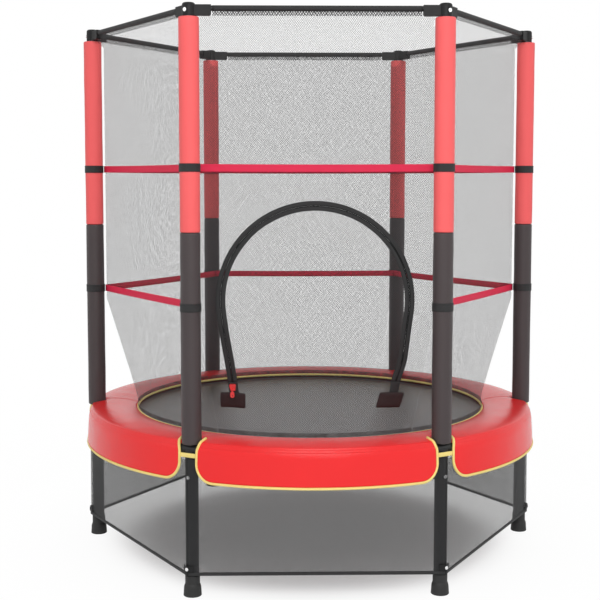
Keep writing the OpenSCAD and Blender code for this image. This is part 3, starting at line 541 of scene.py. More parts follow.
# The zip was sewn a little off the middle, with its right end further in
def zipShift(x, z):
    high = door["shift"] * smooth((z - door["shiftZ"]) / door["shiftRise"])
    low = door["tuck"] * smooth((door["tuckZ"] - z) / door["tuckRise"]) if x > 0 else 0
    return -high - low


# How far outside the zip line a point of the front side lies
def doorOffset(x, z):
    x -= zipShift(x, z)
    tangentZ = door["centreZ"] + door["radius"] * math.sin(door["tangent"])
    if z < tangentZ:
        return (abs(x) - doorHalf(z, 0)) * math.cos(door["tangent"])
    return math.hypot(x, z - door["centreZ"]) - door["radius"]


# A point of side k: x along it from its middle, out from the trampoline's axis, z up
def onSide(k, x, out, z):
    a = k * sideTurn
    c, s = math.cos(a), math.sin(a)
    return Vector((x * c + out * s, x * s - out * c, z))


def sideLine(k, half, out, z, steps):
    return [onSide(k, -half + 2 * half * i / steps, out, z) for i in range(steps + 1)]


def netPoint(k, x, z, off=0.0):
    return onSide(k, x, netDepth(x, z) + off, z)


# The small slack of the net between its straps and hems
def netSlack(x, z, k):
    share = 1 - (x / net["corner"] * 2) ** 2
    n = noise.noise(Vector((x * 5 + k * 3, z * 3, k * 5)))
    return -net["slack"] * max(0, share) * (0.6 + 0.5 * n)


# Safety net
def netRows():
    rise, count = net["joinZ"] - net["footZ"], net["footRows"]
    low = [net["footZ"] + rise * i / count for i in range(count + 1)]
    rise = net["topZ"] - net["joinZ"]
    count = int(rise / net["rowHeight"])
    return low + [net["joinZ"] + rise * i / count for i in range(1, count + 1)]


# One side of the net, whose top leans out to the rail. Keep picks the cells that stay
def sideSheet(k, name, body, keep=None):
    rows, cols = netRows(), net["cols"]
    verts, uvs = [], []
    for z in rows:
        half = netHalf(z)
        for i in range(cols):
            x = -half + 2 * half * i / (cols - 1)
            verts.append(netPoint(k, x, z, netSlack(x, z, k)))
            uvs.append((x, z))
    lean, hang = net["leanHalf"], net["hangHalf"]
    for t, half in ((0.15, lean), (0.5, lean), (1.0, lean), (1.1, hang), (1.6, hang)):
        z = net["topZ"] + (net["bendZ"] - net["topZ"]) * t
        out = net["flat"] + (railDepth - net["flat"]) * min(t, 1)
        for i in range(cols):
            x = -half + 2 * half * i / (cols - 1)
            verts.append(onSide(k, x, out, z))
            uvs.append((x, z))
        rows.append(z)
    centres = [(rows[j] + rows[j + 1]) / 2 for j in range(len(rows) - 1)]

    def inside(j, i):
        if not keep:
            return True
        half = netHalf(min(centres[j], net["topZ"]))
        x = -half + 2 * half * (i + 0.5) / (cols - 1)
        return keep(x, centres[j])

    faces = gridFaces(len(rows), cols, inside)
    verts, faces, uvs = compact(verts, faces, uvs)
    return addMesh(name, verts, faces, netMesh, body, uvs)


# A sewn band along the foot of one side
def footHem(k, name):
    z = net["footZ"] + net["hemHeight"] / 2
    half = netHalf(z) - net["hemOff"]
    path = [netPoint(k, -half + 2 * half * i / 24, z, net["hemOff"]) for i in range(25)]
    section = tapeSection(net["hemHeight"], 0, net["hemThick"])
    return sweep(name, path, section, hemMesh, "frame", outward=onSide(k, 0, 1, 0))


# The dense top edge of one side, which hangs from the rail
lace = {"above": 0.003, "height": 0.015, "off": 0.0008, "flare": 0.0062, "rows": 4, "cols": 61}


def railLace(k, name):
    rows, cols, half = lace["rows"], lace["cols"], net["hangHalf"]
    verts, uvs = [], []
    for j in range(rows):
        z = net["hangZ"] + lace["above"] - lace["height"] * j / (rows - 1)
        for i in range(cols):
            x = -half + 2 * half * i / (cols - 1)
            verts.append(onSide(k, x, railDepth + lace["off"] + (0 if j else lace["flare"]), z))
            uvs.append((x, z))
    return addMesh(name, verts, gridFaces(rows, cols), edgeMesh, "frame", uvs)


sleeveSection = roundSection(railRadius + 0.0006 + seat, 20)
for k in range(6):
    if k:
        panel = sideSheet(k, "netSide%d" % (k + 1), "frame")
    else:
        panel = sideSheet(
            0, "netFront", "frame",
            lambda x, z: z < door["foldZ"] - door["foldGap"] or doorOffset(x, z) > door["cut"],
        )
    foot = footHem(k, "netFootHem%d" % (k + 1))
    casing = railLace(k, "railLace%d" % (k + 1))
    sleeve = sweep(
        "railSleeve%d" % (k + 1), sideLine(k, net["hangHalf"], railDepth, railZ, 60),
        sleeveSection, hemCloth, "frame", outward=onSide(k, 0, 1, 0),
    )
    if k == 0:
        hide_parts("net_door_side")
    elif k == 1:
        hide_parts("enclosure_net")

doorNet = sideSheet(
    0, "doorNet", "door", lambda x, z: z > door["foldZ"] and doorOffset(x, z) < -door["cut"]
)
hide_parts("door_panel")
print("net made")


# Zip door
tape = {
    "thick": 0.0012, "gap": 0.0001, "bevel": 0.0003, "coilAt": 0.0013, "coilWidth": 0.0024,
    "coilThick": 0.0006, "endZ": 0.528, "off": net["thick"] + seat,
}
tape["half"] = door["tape"] / 2 - tape["gap"]


# Points (x, z) along the zip line, moved out by o, from the left foot to the right one
def zipPath(o, z0):
    r, a0 = door["radius"] + o, door["tangent"]
    legs, arch = door["legSteps"], door["archSteps"]
    rise = door["centreZ"] + r * math.sin(a0) - z0
    heights = [z0 + rise * i / legs for i in range(legs)]
    leg = [(-doorHalf(z, o), z) for z in heights]
    turns = [math.pi - a0 + (2 * a0 - math.pi) * i / arch for i in range(arch + 1)]
    line = leg + [(r * math.cos(a), door["centreZ"] + r * math.sin(a)) for a in turns]
    line += [(-x, z) for x, z in leg[::-1]]
    return [(x + zipShift(x, z), z) for x, z in line]


def netNormal(p):
    x, z = p.x, p.z
    e = 0.001
    dx = (netDepth(x + e, z) - netDepth(x - e, z)) / (2 * e)
    dz = (netDepth(x, z + e) - netDepth(x, z - e)) / (2 * e)
    return Vector((-dx, -1, dz)).normalized()


# A band along the zip. The half that stays with the frame starts just under the fold
def zipBand(name, o, width, off, thick, body, mat):
    z0 = door["foldZ"] - (seat if body == "frame" else 0)
    path = [netPoint(0, x, z, off) for x, z in zipPath(o, z0)]
    return sweep(name, path, tapeSection(width, 0, thick, tape["bevel"]), mat, body, outward=netNormal)


def zipTape(name, way, body):
    reach = way * (tape["gap"] + tape["half"] / 2)
    return zipBand(name, reach, tape["half"], tape["off"], tape["thick"], body, tapeBlack)


def zipCoil(name, way, body):
    off = tape["off"] + tape["thick"]
    return zipBand(name, way * tape["coilAt"], tape["coilWidth"], off, tape["coilThick"], body, coilBlack)


outerTape = zipTape("zipTapeOuter", 1, "frame")
innerTape = zipTape("zipTapeInner", -1, "door")
outerCoil = zipCoil("zipCoilOuter", 1, "frame")
innerCoil = zipCoil("zipCoilInner", -1, "door")
for s in (-1, 1):
    zs = [door["foldZ"] - seat - (door["foldZ"] - tape["endZ"]) * i / 10 for i in range(11)]
    path = [netPoint(0, s * doorHalf(z, 0) + zipShift(s, z), z, tape["off"]) for z in zs]
    section = tapeSection(door["tape"], 0, tape["thick"])
    sweep("zipStop%d" % (s + 2), path, section, tapeBlack, "frame", outward=netNormal)

# Padded cloth covers over the two ends of the zip, slightly askew as they were sewn
cover = {
    "w": 0.0745, "h": 0.0435, "z": 0.524, "thick": 0.004, "off": tape["off"] + tape["thick"] + seat,
    "cols": 15, "rows": 11, "fullness": 0.93, "cornerX": 0.82, "cornerZ": 0.75, "cornerRound": 0.7,
    "edgeThin": 0.6,
}
coverPlaces = (
    {"name": "zipCoverLeft", "way": -1, "shift": 0.0065, "lean": 0.0, "tilt": 0.0012},
    {"name": "zipCoverRight", "way": 1, "shift": 0.0175, "lean": 0.00552, "tilt": 0.0016},
)


def endCover(place):
    rows, cols = cover["rows"], cover["cols"]
    mid = place["way"] * doorHalf(cover["z"], 0) - place["shift"]
    verts, uvs = [], []
    for layer in (0, 1):
        for j in range(rows):
            v = -1 + 2 * j / (rows - 1)
            for i in range(cols):
                u = -1 + 2 * i / (cols - 1)
                corner = max(0, abs(u) - cover["cornerX"]) * max(0, abs(v) - cover["cornerZ"])
                drawnIn = 1 - corner * cover["cornerRound"]
                x = mid + u * drawnIn * cover["w"] / 2 * cover["fullness"] + place["lean"] * v * drawnIn
                z = cover["z"] + v * drawnIn * cover["h"] / 2 - place["tilt"] * u
                puff = cover["thick"] * (1 - max(abs(u), abs(v)) ** 6 * cover["edgeThin"])
                verts.append(netPoint(0, x, z, cover["off"] + layer * puff))
                uvs.append((x, z))
    n = rows * cols
    faces = [f[::-1] for f in gridFaces(rows, cols)]
    faces += [tuple(n + i for i in f) for f in gridFaces(rows, cols)]
    ring = [i for i in range(cols)] + [j * cols + cols - 1 for j in range(1, rows)]
    ring += [(rows - 1) * cols + i for i in range(cols - 2, -1, -1)]
    ring += [j * cols for j in range(rows - 2, 0, -1)]
    for a, b in zip(ring, ring[1:] + ring[:1]):
        faces.append((a, b, n + b, n + a))
    obj = addMesh(place["name"], verts, faces, coverCloth, "frame", uvs)


for place in coverPlaces:
    endCover(place)
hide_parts("zip_tape")
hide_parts("door_zip_tape")
line = zipPath(0, door["foldZ"])
print("zip door made")

# Straps and bands, both with a thicker edge
straps = {"upperZ": 1.161, "lowerZ": 0.789, "height": 0.020, "thick": 0.0018, "edge": 0.0012, "sag": 0.0012}
strapDepth = net["flat"] + net["thick"] + seat
strapHalf = strapDepth * math.tan(sideTurn / 2) + straps["thick"] / 2
w, e, t = straps["height"] / 2, straps["edge"], straps["thick"]
strapSection = [
    (-w, 0), (w, 0), (w, t * 0.7), (w - e, t), (w - 2 * e, t * 0.82), (-w + 2 * e, t * 0.82), (-w + e, t),
    (-w, t * 0.7),
]
for z, sides, name in (
    (straps["upperZ"], range(6), "strapUpper"), (straps["lowerZ"], range(1, 6), "strapLower"),
):
    for k in sides:
        path = []
        for i in range(49):
            x = -strapHalf + 2 * strapHalf * i / 48
            path.append(onSide(k, x, strapDepth, z - straps["sag"] * math.sin(math.pi * i / 48)))
        out = onSide(k, 0, 1, 0)
        strap = sweep("%s%d" % (name, k + 1), path, strapSection, strapRed, "frame", outward=out)
        if k == 1:
            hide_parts("net_straps")

bands = {"height": 0.022, "thick": 0.0014, "edge": 0.0012, "edgeEnd": 0.0028}
r, h, t = foamRadius + seat, bands["height"] / 2, bands["thick"]
lower = [(r, -h), (r + t * 0.7, -h), (r + t, -h + bands["edge"]), (r + t * 0.8, -h + bands["edgeEnd"])]
for k in range(6):
    for z, name in ((straps["upperZ"], "Upper"), (straps["lowerZ"], "Lower")):
        profile = [(x, z + y) for x, y in lower] + [(x, z - y) for x, y in lower[::-1]]
        band = lathe("band%s%d" % (name, k + 1), profile, tapeBlack, "frame", (posts[k].x, posts[k].y), 48)
        if k == 0 and name == "Upper":
            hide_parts("pole_bands")
print("straps made")

# Safety pad
pad = {
    "inner": 0.547, "outer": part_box("safety_pad")[1].y, "edgeZ": 0.427, "rise": 0.0105, "bottomZ": 0.326,
    "lipZ": 0.4166, "lipH": 0.0069, "edgeR": 0.684, "skirt": 0.004, "underZ": 0.4166, "slot": 0.063,
    "corner": 0.046, "seam": 0.0022, "seamShare": 0.6, "lipBulge": 0.0008, "swell": 0.0011,
    "wave": 0.001, "slotDip": 0.004, "slotRound": 0.002, "flare": 0.075, "mapRadius": 0.62,
    "mapTop": 0.44, "mapFold": 0.69,
}
pad["slotTurn"] = math.asin(pad["slot"] / 2 / pad["outer"])
# The rounded outer edge, from the top panel down to the skirt, with the seam's groove in it
shoulder = [
    (0.6858, 0.4252), (0.6857, 0.4238), (0.6880, 0.4222), (0.6902, 0.4178), (0.6922, 0.4126),
    (0.6938, 0.4070), (0.6949, 0.4010), (0.6955, 0.3945),
]


def crownZ(r):
    u = (r - pad["inner"]) / (pad["edgeR"] - pad["inner"])
    innerZ = pad["lipZ"] + pad["lipH"]
    return innerZ + (pad["edgeZ"] - innerZ) * u + pad["rise"] * (1 - (2 * u - 1) ** 2)


# The turn from the nearest post
def nearPost(a):
    return min(((a - t + math.pi) % tau - math.pi for t in postTurns), key=abs)


# Turns of the pad's columns: close together at the slots, and one on each side of a slot's edge
def padColumns():
    edge = pad["slotTurn"]
    turns = []
    for t in sorted(x % tau for x in postTurns):
        inside = [edge * s for s in (-0.98, -0.9, -0.75, -0.5, -0.25, 0, 0.25, 0.5, 0.75, 0.9, 0.98)]
        flare = [edge + pad["flare"] * (i / 12) ** 1.5 for i in range(13)]
        rest = [flare[-1] + (sideTurn - 2 * flare[-1]) * i / 46 for i in range(1, 46)]
        turns += [t + x for x in inside] + [t + x for x in flare] + [t + x for x in rest]
        turns += [t + sideTurn - x for x in flare[::-1]]
    return turns


# The crowned top at a turn, from the lip beside the mat out to a radius
def padTop(a, d, rTop, inSlot):
    dip = pad["seam"] * math.exp(-((d * pad["seamShare"]) / pad["seam"]) ** 2)
    swell = noise.noise(Vector((math.cos(a) * 9, math.sin(a) * 9, 0.3)))
    rLip, zLip = pad["inner"], pad["lipZ"]
    points = [(rLip, zLip)]
    for i in range(1, 4):
        r = rLip - pad["lipBulge"] * math.sin(math.pi * i / 4)
        points.append((r, zLip + (crownZ(rLip) - zLip) * i / 4))
    for i in range(25):
        r = rLip + (rTop - rLip) * i / 24
        u = i / 24
        z = crownZ(r) - dip * min(1, u * 12 + 0.3) + pad["swell"] * swell * math.sin(math.pi * u)
        if inSlot:
            z -= pad["slotDip"] * max(0, u - 0.94) / 0.06
        points.append((r, z))
    return points


# Down the wall of a slot and in under the top
def padSlot(r, zTop):
    under, steps = pad["underZ"], len(shoulder)
    points = [(r, zTop + (under - zTop) * i / steps * 0.96) for i in range(1, steps + 1)]
    points += [(r, under + seat)] * 16
    r -= pad["slotRound"]
    return points + [(r, under)] + [(r - 0.001 * i, under) for i in range(6)]


# Over the shoulder, down the skirt, which is cut round beside a slot, and up its inner face
def padSkirt(a, d):
    fromSlot = (abs(d) - pad["slotTurn"]) * pad["outer"]
    c = pad["corner"]
    lift = 0 if fromSlot > c else c - math.sqrt(max(0, c * c - (c - fromSlot) ** 2))
    bottom = pad["bottomZ"] + lift
    waist, top = shoulder[-1]
    points = list(shoulder)
    for i in range(1, 17):
        t = i / 16
        z = top + (bottom - top) * t
        r = waist + (pad["outer"] - 0.0002 - waist) * (top - z) / (top - pad["bottomZ"])
        n = noise.noise(Vector((math.cos(a) * 7, math.sin(a) * 7, z * 6)))
        points.append((r + pad["wave"] * n * math.sin(math.pi * t), z))
    foot = points[-1][0] - pad["skirt"]
    points.append((foot, bottom))
    for i in range(1, 7):
        t = i / 6
        points.append((foot + (waist - pad["skirt"] - foot) * t, bottom + (pad["underZ"] - bottom) * t))
    return points


def padColumn(a):
    d = nearPost(a)
    if abs(d) < pad["slotTurn"] - 1e-6:
        lateral = abs(math.sin(d)) * postCircle
        r = postCircle * math.cos(d) - math.sqrt(max((pad["slot"] / 2) ** 2 - lateral ** 2, 1e-8))
        points = padTop(a, d, r - pad["slotRound"], True)
        points += padSlot(r, points[-1][1])
    else:
        points = padTop(a, d, pad["edgeR"], False) + padSkirt(a, d)
    points.append((pad["inner"] + 0.05, pad["underZ"]))
    points.append((pad["inner"] + 0.02, (pad["underZ"] + pad["lipZ"]) / 2))
    return points


turns = padColumns()
columns = [padColumn(a) for a in turns]
rows, cols = len(columns[0]), len(turns)
verts, uvs = [], []
for j in range(rows):
    for a, column in zip(turns, columns):
        r, z = column[j]
        verts.append(atTurn(a, r, z))
        uvs.append((a * pad["mapRadius"], r + (pad["mapTop"] - z if r > pad["mapFold"] else 0)))
faces = gridFaces(rows, cols, wrap=True)
last = (rows - 1) * cols
faces += [(last + i, last + (i + 1) % cols, (i + 1) % cols, i) for i in range(cols)]
padPiece = addMesh("padCover", verts, [f[::-1] for f in faces], vinyl, "frame", uvs)
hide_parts("safety_pad")
print("pad made", len(verts))

# Piping
# The points are (from the slot's middle, height, radius)
pipe = {
    "radius": 0.0038, "inner": 0.0035, "innerZ": 0.4202, "lift": 0.0018, "longEnds": (0, 1),
    "onTop": [(0.0085, 0.661), (0.0085, 0.670), (0.0080, 0.678)], "overEdge": (0.0068, 0.4275, 0.6850),
    "down": [(0.0048, 0.4205, 0.6895), (0.0022, 0.4115, 0.6925), (0.0004, 0.4020, 0.6938)],
}
pipe["off"] = pipe["radius"] + seat
pipe["edgeX"] = pad["slot"] / 2 - pipe["off"]
pipe["corner"] = pad["corner"] + pipe["off"]


# The piping beside one slot, down to the skirt's lower edge. At the front posts it runs in over the top
def pipingEnd(post):
    edge, c, made = pipe["edgeX"], pipe["corner"], []
    if post in pipe["longEnds"]:
        made = [(edge + x, crownZ(r) + pipe["lift"], r) for x, r in pipe["onTop"]]
        made.append((edge + pipe["overEdge"][0], *pipe["overEdge"][1:]))
    made += [(edge + x, z, r) for x, z, r in pipe["down"]]
    waist, top = shoulder[-1]
    for i in range(13):
        a = math.pi + math.pi / 2 * i / 12
        z = pad["bottomZ"] - pipe["off"] + c * (1 + math.sin(a))
        r = waist + (pad["outer"] - waist) * (top - z) / (top - pad["bottomZ"])
        made.append((edge + c * (1 + math.cos(a)), z, r - pad["skirt"] / 2))
    return made


def onSkirt(point, start, way):
    x, z, r = point
    return atTurn(start + way * math.asin(x / r), r, z)


# A smooth curve through points
def spline(points, steps):
    made = []
    last = len(points) - 1
    for i in range(last):
        p0, p1, p2, p3 = points[max(i - 1, 0)], points[i], points[i + 1], points[min(i + 2, last)]
        for s in range(steps):
            t = s / steps
            bent = (2 * p0 - 5 * p1 + 4 * p2 - p3) * t * t + (3 * p1 - p0 - 3 * p2 + p3) * t ** 3
            made.append(0.5 * (2 * p1 + (p2 - p0) * t + bent))
    return made + [points[-1]]


for k, start in enumerate(postTurns):
    stop = start + sideTurn
    end, farEnd = pipingEnd(k), pipingEnd((k + 1) % 6)
    x, z, r = end[-1]
    first, final = start + math.asin(x / r), stop - math.asin(x / r)
    path = [onSkirt(p, start, 1) for p in end]
    path += [atTurn(first + (final - first) * i / 40, r, z) for i in range(1, 40)]
    path += [onSkirt(p, stop, -1) for p in farEnd[::-1]]
    section = roundSection(pipe["radius"], 12)
    sweep("skirtPiping%d" % (k + 1), spline(path, 2), section, piping, "frame")
innerR = pad["inner"] - seat - pipe["inner"]
path = [atTurn(tau * i / 180, innerR, pipe["innerZ"]) for i in range(180)]
sweep("innerPiping", path, roundSection(pipe["inner"], 12), piping, "frame", closed=True)

# Bands across the slots
tie = {"height": 0.012, "thick": 0.0014, "drop": 0.013, "bow": 0.0004}
tie["half"] = pipe["edgeX"] - pipe["radius"] - seat
for k, turn in enumerate(postTurns):
    out, side = directions(turn)
    base = out * (postCircle + legRadius + seat) + up(ringZ - tie["drop"])
    path = []
    for i in range(-8, 9):
        path.append(base + side * (tie["half"] * i / 8) + out * (tie["bow"] * math.cos(math.pi * i / 16)))
    section = tapeSection(tie["height"], 0, tie["thick"])
    band = sweep("slotTie%d" % (k + 1), path, section, piping, "frame", outward=out)
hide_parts("pad_piping")
print("piping made")

# Jumping mat
jumpMat = {
    "radius": 0.575, "z": middle("mat_rings").z, "thick": 0.003, "border": 0.034, "borderThick": 0.0046,
    "steps": 36, "cols": 120, "centre": 0.0005, "edge": 0.001, "loops": 30, "tabHalf": 0.006,
    "tab": [(-0.012, 0.0023), (0.002, 0.0030), (0.0075, 0.0031), (0.009, 0.0020)],
}
rim, e = jumpMat["radius"], jumpMat["edge"]
inside = rim - jumpMat["border"]
t, b = jumpMat["thick"] / 2, jumpMat["borderThick"] / 2
profile = [(jumpMat["centre"], t)]
profile += [(inside * i / jumpMat["steps"], t) for i in range(1, jumpMat["steps"])]
# The border, with the groove of its seam
profile += [
    (inside, t), (inside + e, b), (inside + 6 * e, b), (inside + 7 * e, b - e / 2), (inside + 8 * e, b),
    (rim - e, b), (rim, b - e), (rim, e - b), (rim - e, -b), (inside + e, -b), (inside, -t),
]
profile += [(inside * i / 6, -t) for i in range(5, 0, -1)] + [(jumpMat["centre"], -t)]
profile = [(r, jumpMat["z"] + h) for r, h in profile]
matPiece = lathe("jumpingMat", profile, matCloth, "mat", (0, 0), jumpMat["cols"])
layer = matPiece.data.uv_layers[0]
for loop in matPiece.data.loops:
    co = matPiece.data.vertices[loop.vertex_index].co
    layer.data[loop.index].uv = (co.x, co.y)
loopTurns = [(i + 0.5) * tau / jumpMat["loops"] for i in range(jumpMat["loops"])]
tabShape = jumpMat["tab"] + [(r, -h) for r, h in jumpMat["tab"][::-1]]
n = len(tabShape)
tabFaces = [tuple(range(n))[::-1], tuple(range(n, 2 * n))]
tabFaces += [(j, (j + 1) % n, n + (j + 1) % n, n + j) for j in range(n)]
for i, turn in enumerate(loopTurns):
    out, side = directions(turn)
    verts = []
    for s in (-1, 1):
        for r, h in tabShape:
            verts.append(out * (rim + r) + side * (s * jumpMat["tabHalf"]) + up(jumpMat["z"] + h))
    tabUvs = [(v.x, v.y) for v in verts]
    addMesh("matTab%d" % (i + 1), verts, tabFaces, tapeBlack, "mat", tabUvs, smooth=False)
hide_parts("jump_mat")

# Elastic loops: round the ring tube and the outer bar of a mat ring
cord = {"radius": 0.0021, "off": 0.002, "barRadius": 0.0028, "barAt": 0.5957, "step": 0.009}
bigR, smallR = ringRadius + seat + cord["off"], cord["barRadius"] + cord["off"]
run, rise = postCircle - cord["barAt"], ringZ - jumpMat["z"]
lean = math.atan2(rise, run)
spread = math.acos((bigR - smallR) / math.hypot(run, rise))
outline = []
for s in range(17):
    t = lean + math.pi - spread - (tau - 2 * spread) * s / 16
    outline.append((postCircle + bigR * math.cos(t), ringZ + bigR * math.sin(t)))
for s in range(9):
    t = lean + math.pi + spread - (2 * spread) * s / 8
    outline.append((cord["barAt"] + smallR * math.cos(t), jumpMat["z"] + smallR * math.sin(t)))
for i, turn in enumerate(loopTurns):
    out, side = directions(turn)
    points = [out * r + up(z) for r, z in outline]
    path = []
    for p, q in zip(points, points[1:] + points[:1]):
        count = max(1, int((q - p).length / cord["step"]))
        path += [p + (q - p) * t / count for t in range(count)]
    section = roundSection(cord["radius"], 8)
    loop = sweep("elasticLoop%d" % (i + 1), path, section, elastic, closed=True, outward=side)
    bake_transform(loop)
    if i == 0:
        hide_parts("elastic_loops")
print("mat made")

# Skirt net
skirt = {
    "hemZ": 0.060, "hemH": 0.010, "hemT": 0.005, "topZ": 0.380, "round": 0.5, "rows": 40, "cols": 61,
    "off": 0.0006, "gap": 0.001, "inHem": 0.004, "cornerCut": 0.003,
}
skirt["flat"] = railDepth + legRadius + 0.0025 + seat
skirt["corner"] = skirt["flat"] / math.cos(sideTurn / 2)
skirt["roundR"] = skirt["corner"] - skirt["cornerCut"]
skirt["lowZ"] = skirt["hemZ"] + skirt["hemH"]


# How round the skirt net is at a height
def skirtTurn(z):
    return skirt["round"] * (z - skirt["lowZ"]) / (skirt["topZ"] - skirt["lowZ"])


skirtHeight = skirt["topZ"] - skirt["lowZ"] + skirt["inHem"]
hemDepth = skirt["flat"] + skirt["off"]
hemHalf = hemDepth * math.tan(sideTurn / 2) - skirt["gap"]
h, t = skirt["hemH"] / 2, skirt["hemT"] / 2
hemSection = [(h * math.cos(tau * j / 16), t * math.sin(tau * j / 16)) for j in range(16)]
for k in range(6):
    rows, cols = skirt["rows"], skirt["cols"]
    verts, uvs = [], []
    for j in range(rows):
        z = skirt["lowZ"] - skirt["inHem"] + skirtHeight * j / (rows - 1)
        w = max(0, skirtTurn(z))
        half = sideHalf(w, skirt["flat"], skirt["roundR"]) - skirt["gap"]
        for i in range(cols):
            x = -half + 2 * half * i / (cols - 1)
            depth = (1 - w) * skirt["flat"] + w * math.sqrt(skirt["roundR"] ** 2 - x * x)
            verts.append(onSide(k, x, depth + skirt["off"], z))
            uvs.append((x, z))
    panel = addMesh("skirtNet%d" % (k + 1), verts, gridFaces(rows, cols), skirtMesh, "frame", uvs)
    path = sideLine(k, hemHalf, hemDepth, skirt["hemZ"] + skirt["hemH"] / 2, 40)
    out = onSide(k, 0, 1, 0)
    hem = sweep("skirtHem%d" % (k + 1), path, hemSection, hemCloth, "frame", outward=out)
    if k == 0:
        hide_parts("skirt_net")
print("skirt net made")

# Brackets over the net's corners at the legs, each with a screw
bracket = {
    "low": skirt["lowZ"] + seat, "wing": 0.0165, "thick": 0.0025, "screwZ": 0.079, "bevel": 0.0006,
    "ridge": 0.003,
}
bracket["high"] = 2 * bracket["screwZ"] - bracket["low"]
bracket["inner"] = (skirt["flat"] + net["thick"] + seat) / math.cos(sideTurn / 2)
bracket["outer"] = bracket["inner"] + bracket["thick"] / math.cos(sideTurn / 2)
# Radius and height of the screw head's rings, from its rim to the bottom of its recess
screwHead = [
    (0.005, 0), (0.005, 0.0008), (0.0046, 0.0014), (0.0034, 0.0019), (0.0017, 0.0021), (0.0015, 0.0011),
    (0.0001, 0.0011),
]


def screwTop(name, place, turn):
    out, side = directions(turn)
    verts, uvs = [], []
    for r, h in screwHead:
        for i in range(24):
            x, z = r * math.cos(tau * i / 24), r * math.sin(tau * i / 24)
            verts.append(place + out * h + side * x + up(z))
            uvs.append((x, z))
    rows = len(screwHead)
    faces = gridFaces(rows, 24, wrap=True)
    faces += [tuple(range(24))[::-1], tuple((rows - 1) * 24 + i for i in range(24))]
    obj = addMesh(name, verts, faces, screwZinc, "frame", uvs)


lean = math.tan(sideTurn / 2)
w, e, c = bracket["wing"], bracket["bevel"], bracket["ridge"]
low, high = bracket["inner"], bracket["outer"]
plateSection = [
    (-w, low - w * lean), (0, low), (w, low - w * lean), (w, high - w * lean - e),
    (w - e, high - w * lean), (c, high - c * lean), (0, high - e), (-c, high - c * lean),
    (-w + e, high - w * lean), (-w, high - w * lean - e),
]
path = [up(bracket["low"] + (bracket["high"] - bracket["low"]) * i / 4) for i in range(5)]
for k, turn in enumerate(postTurns):
    out, side = directions(turn)
    plate = sweep("hemBracket%d" % (k + 1), path, plateSection, capPlastic, "frame", outward=out)
    for face in plate.data.polygons:
        face.use_smooth = False
    if k == 0:
        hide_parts("hem_brackets")
    screwTop("hemScrew%d" % (k + 1), out * (high - 0.0007) + up(bracket["screwZ"]), turn)
print("brackets made")

# Stage
# Share of the light that a surface shows as plain white to the camera and in mirror images
def whiteShare(tree, share):
    rays = tree.nodes.new("ShaderNodeLightPath")
    seen = rays.outputs["Is Camera Ray"]
    for kind in ("Is Glossy Ray", "Is Transmission Ray"):
        most = tree.nodes.new("ShaderNodeMath")
        most.operation = "MAXIMUM"
        tree.links.new(seen, most.inputs[0])
        tree.links.new(rays.outputs[kind], most.inputs[1])
        seen = most.outputs[0]
    part = tree.nodes.new("ShaderNodeMath")
    part.operation = "MULTIPLY"
    tree.links.new(seen, part.inputs[0])
    tree.links.new(share, part.inputs[1])
    return part.outputs[0]


# The same share everywhere
def evenShare(tree, value):
    made = tree.nodes.new("ShaderNodeValue")
    made.outputs[0].default_value = value
    return made.outputs[0]


# A share that grows from the middle of the floor outwards, by (distance, share) stops. On the floor it
# paints light: white that hides the shadow beyond the skirt and lightens it beneath
def spreadShare(tree, stops):
    place = tree.nodes.new("ShaderNodeTexCoord")
    reach = tree.nodes.new("ShaderNodeVectorMath")
    reach.operation = "LENGTH"
    tree.links.new(place.outputs["Object"], reach.inputs[0])
    ramp = tree.nodes.new("ShaderNodeFloatCurve")
    curve = ramp.mapping.curves[0]
    far = stops[-1][0]
    for (r, value), point in zip((stops[0], stops[-1]), curve.points):
        point.location = (r / far, value)
    for r, value in stops[1:-1]:
        curve.points.new(r / far, value)
    ramp.mapping.update()
    part = tree.nodes.new("ShaderNodeMath")
    part.operation = "DIVIDE"
    part.use_clamp = True
    tree.links.new(reach.outputs["Value"], part.inputs[0])
    part.inputs[1].default_value = far
    tree.links.new(part.outputs[0], ramp.inputs["Value"])
    return ramp.outputs[0]


# Mixes plain white into what a material or world shows
def whiten(tree, plain, out, share, kind):
    white = tree.nodes.new(kind)
    white.inputs["Color"].default_value = (1, 1, 1, 1)
    white.inputs["Strength"].default_value = 1.0
    mix = tree.nodes.new("ShaderNodeMixShader")
    tree.links.new(whiteShare(tree, share), mix.inputs[0])
    tree.links.new(plain, mix.inputs[1])
    tree.links.new(white.outputs[0], mix.inputs[2])
    tree.links.new(mix.outputs[0], out)
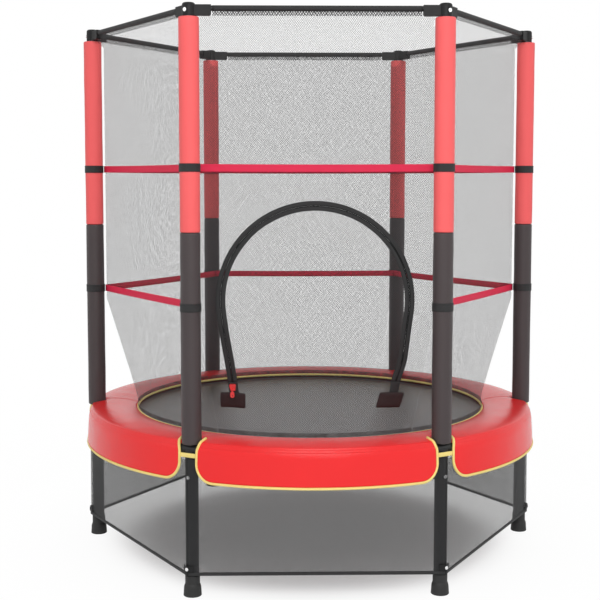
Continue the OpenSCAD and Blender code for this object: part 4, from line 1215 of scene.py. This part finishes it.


# floorWhite is painted light on the floor: the share of plain white by distance from the middle. It is low
# under the trampoline, where its shadow stays, and near full beyond the skirt, where the shadow is painted
# out
stage = {
    "skyLight": 0.5, "half": 14, "drop": 0.0005,
    "floorWhite": [(0, 0.28), (0.44, 0.3), (0.68, 0.94), (0.85, 0.98), (1.4, 0.99), (3.0, 1.0)],
}
floorMat = newMaterial("floorPaper", (0.97, 0.97, 0.97), 0.8, spec=0.2)
half, drop = stage["half"], stage["drop"]
corners = [(-half, -half, -drop), (half, -half, -drop), (half, half, -drop), (-half, half, -drop)]
floor = addMesh("floor", corners, [(0, 1, 2, 3)], floorMat)
# Painted light: plain white over the floor's shadow, more of it further from the middle
tree = floorMat.node_tree
whiten(tree, tree.nodes["Principled BSDF"].outputs[0], tree.nodes["Material Output"].inputs[0],
       spreadShare(tree, stage["floorWhite"]), "ShaderNodeEmission")

world = bpy.data.worlds.new("studio")
scene.world = world
world.use_nodes = True
sky = world.node_tree.nodes["Background"]
sky.inputs["Color"].default_value = (1, 1, 1, 1)
sky.inputs["Strength"].default_value = stage["skyLight"]
whiten(world.node_tree, sky.outputs[0], world.node_tree.nodes["World Output"].inputs[0],
       evenShare(world.node_tree, 1.0), "ShaderNodeBackground")


def softLight(name, place, target, size, power):
    data = bpy.data.lights.new(name, "AREA")
    data.shape = "DISK"
    data.size = size
    data.energy = power
    lamp = bpy.data.objects.new(name, data)
    lamp.location = place
    lamp.rotation_mode = "QUATERNION"
    lamp.rotation_quaternion = (Vector(target) - Vector(place)).to_track_quat("-Z", "Y")
    scene.collection.objects.link(lamp)


softLight("keyLight", (0.2, -3.5, 2.5), (0, 0, 0.8), 2.2, 62)
softLight("leftLight", (-4.4, -1.8, 2.4), (-0.4, 0, 0.9), 2.0, 12)
softLight("rightLight", (4.4, -1.8, 2.4), (0.4, 0, 0.9), 2.0, 18)

# Camera
view = {
    "place": (-0.124, -3.759, 1.132), "yaw": 1.155, "pitch": 4.741, "focal": 1191.5,
    "centre": (294.58, 277.45), "size": 600,
}
camData = bpy.data.cameras.new("camera")
camData.sensor_width = 36
camData.lens = view["focal"] / view["size"] * camData.sensor_width
camData.shift_x = (view["size"] / 2 - view["centre"][0]) / view["size"]
camData.shift_y = (view["centre"][1] - view["size"] / 2) / view["size"]
camera = bpy.data.objects.new("camera", camData)
scene.collection.objects.link(camera)
yaw, pitch = math.radians(view["yaw"]), math.radians(view["pitch"])
forward = Vector((math.sin(yaw) * math.cos(pitch), math.cos(yaw) * math.cos(pitch), -math.sin(pitch)))
camera.location = view["place"]
camera.rotation_mode = "QUATERNION"
camera.rotation_quaternion = forward.to_track_quat("-Z", "Y")
scene.camera = camera
scene.view_settings.view_transform = "Standard"

print("scene ready")
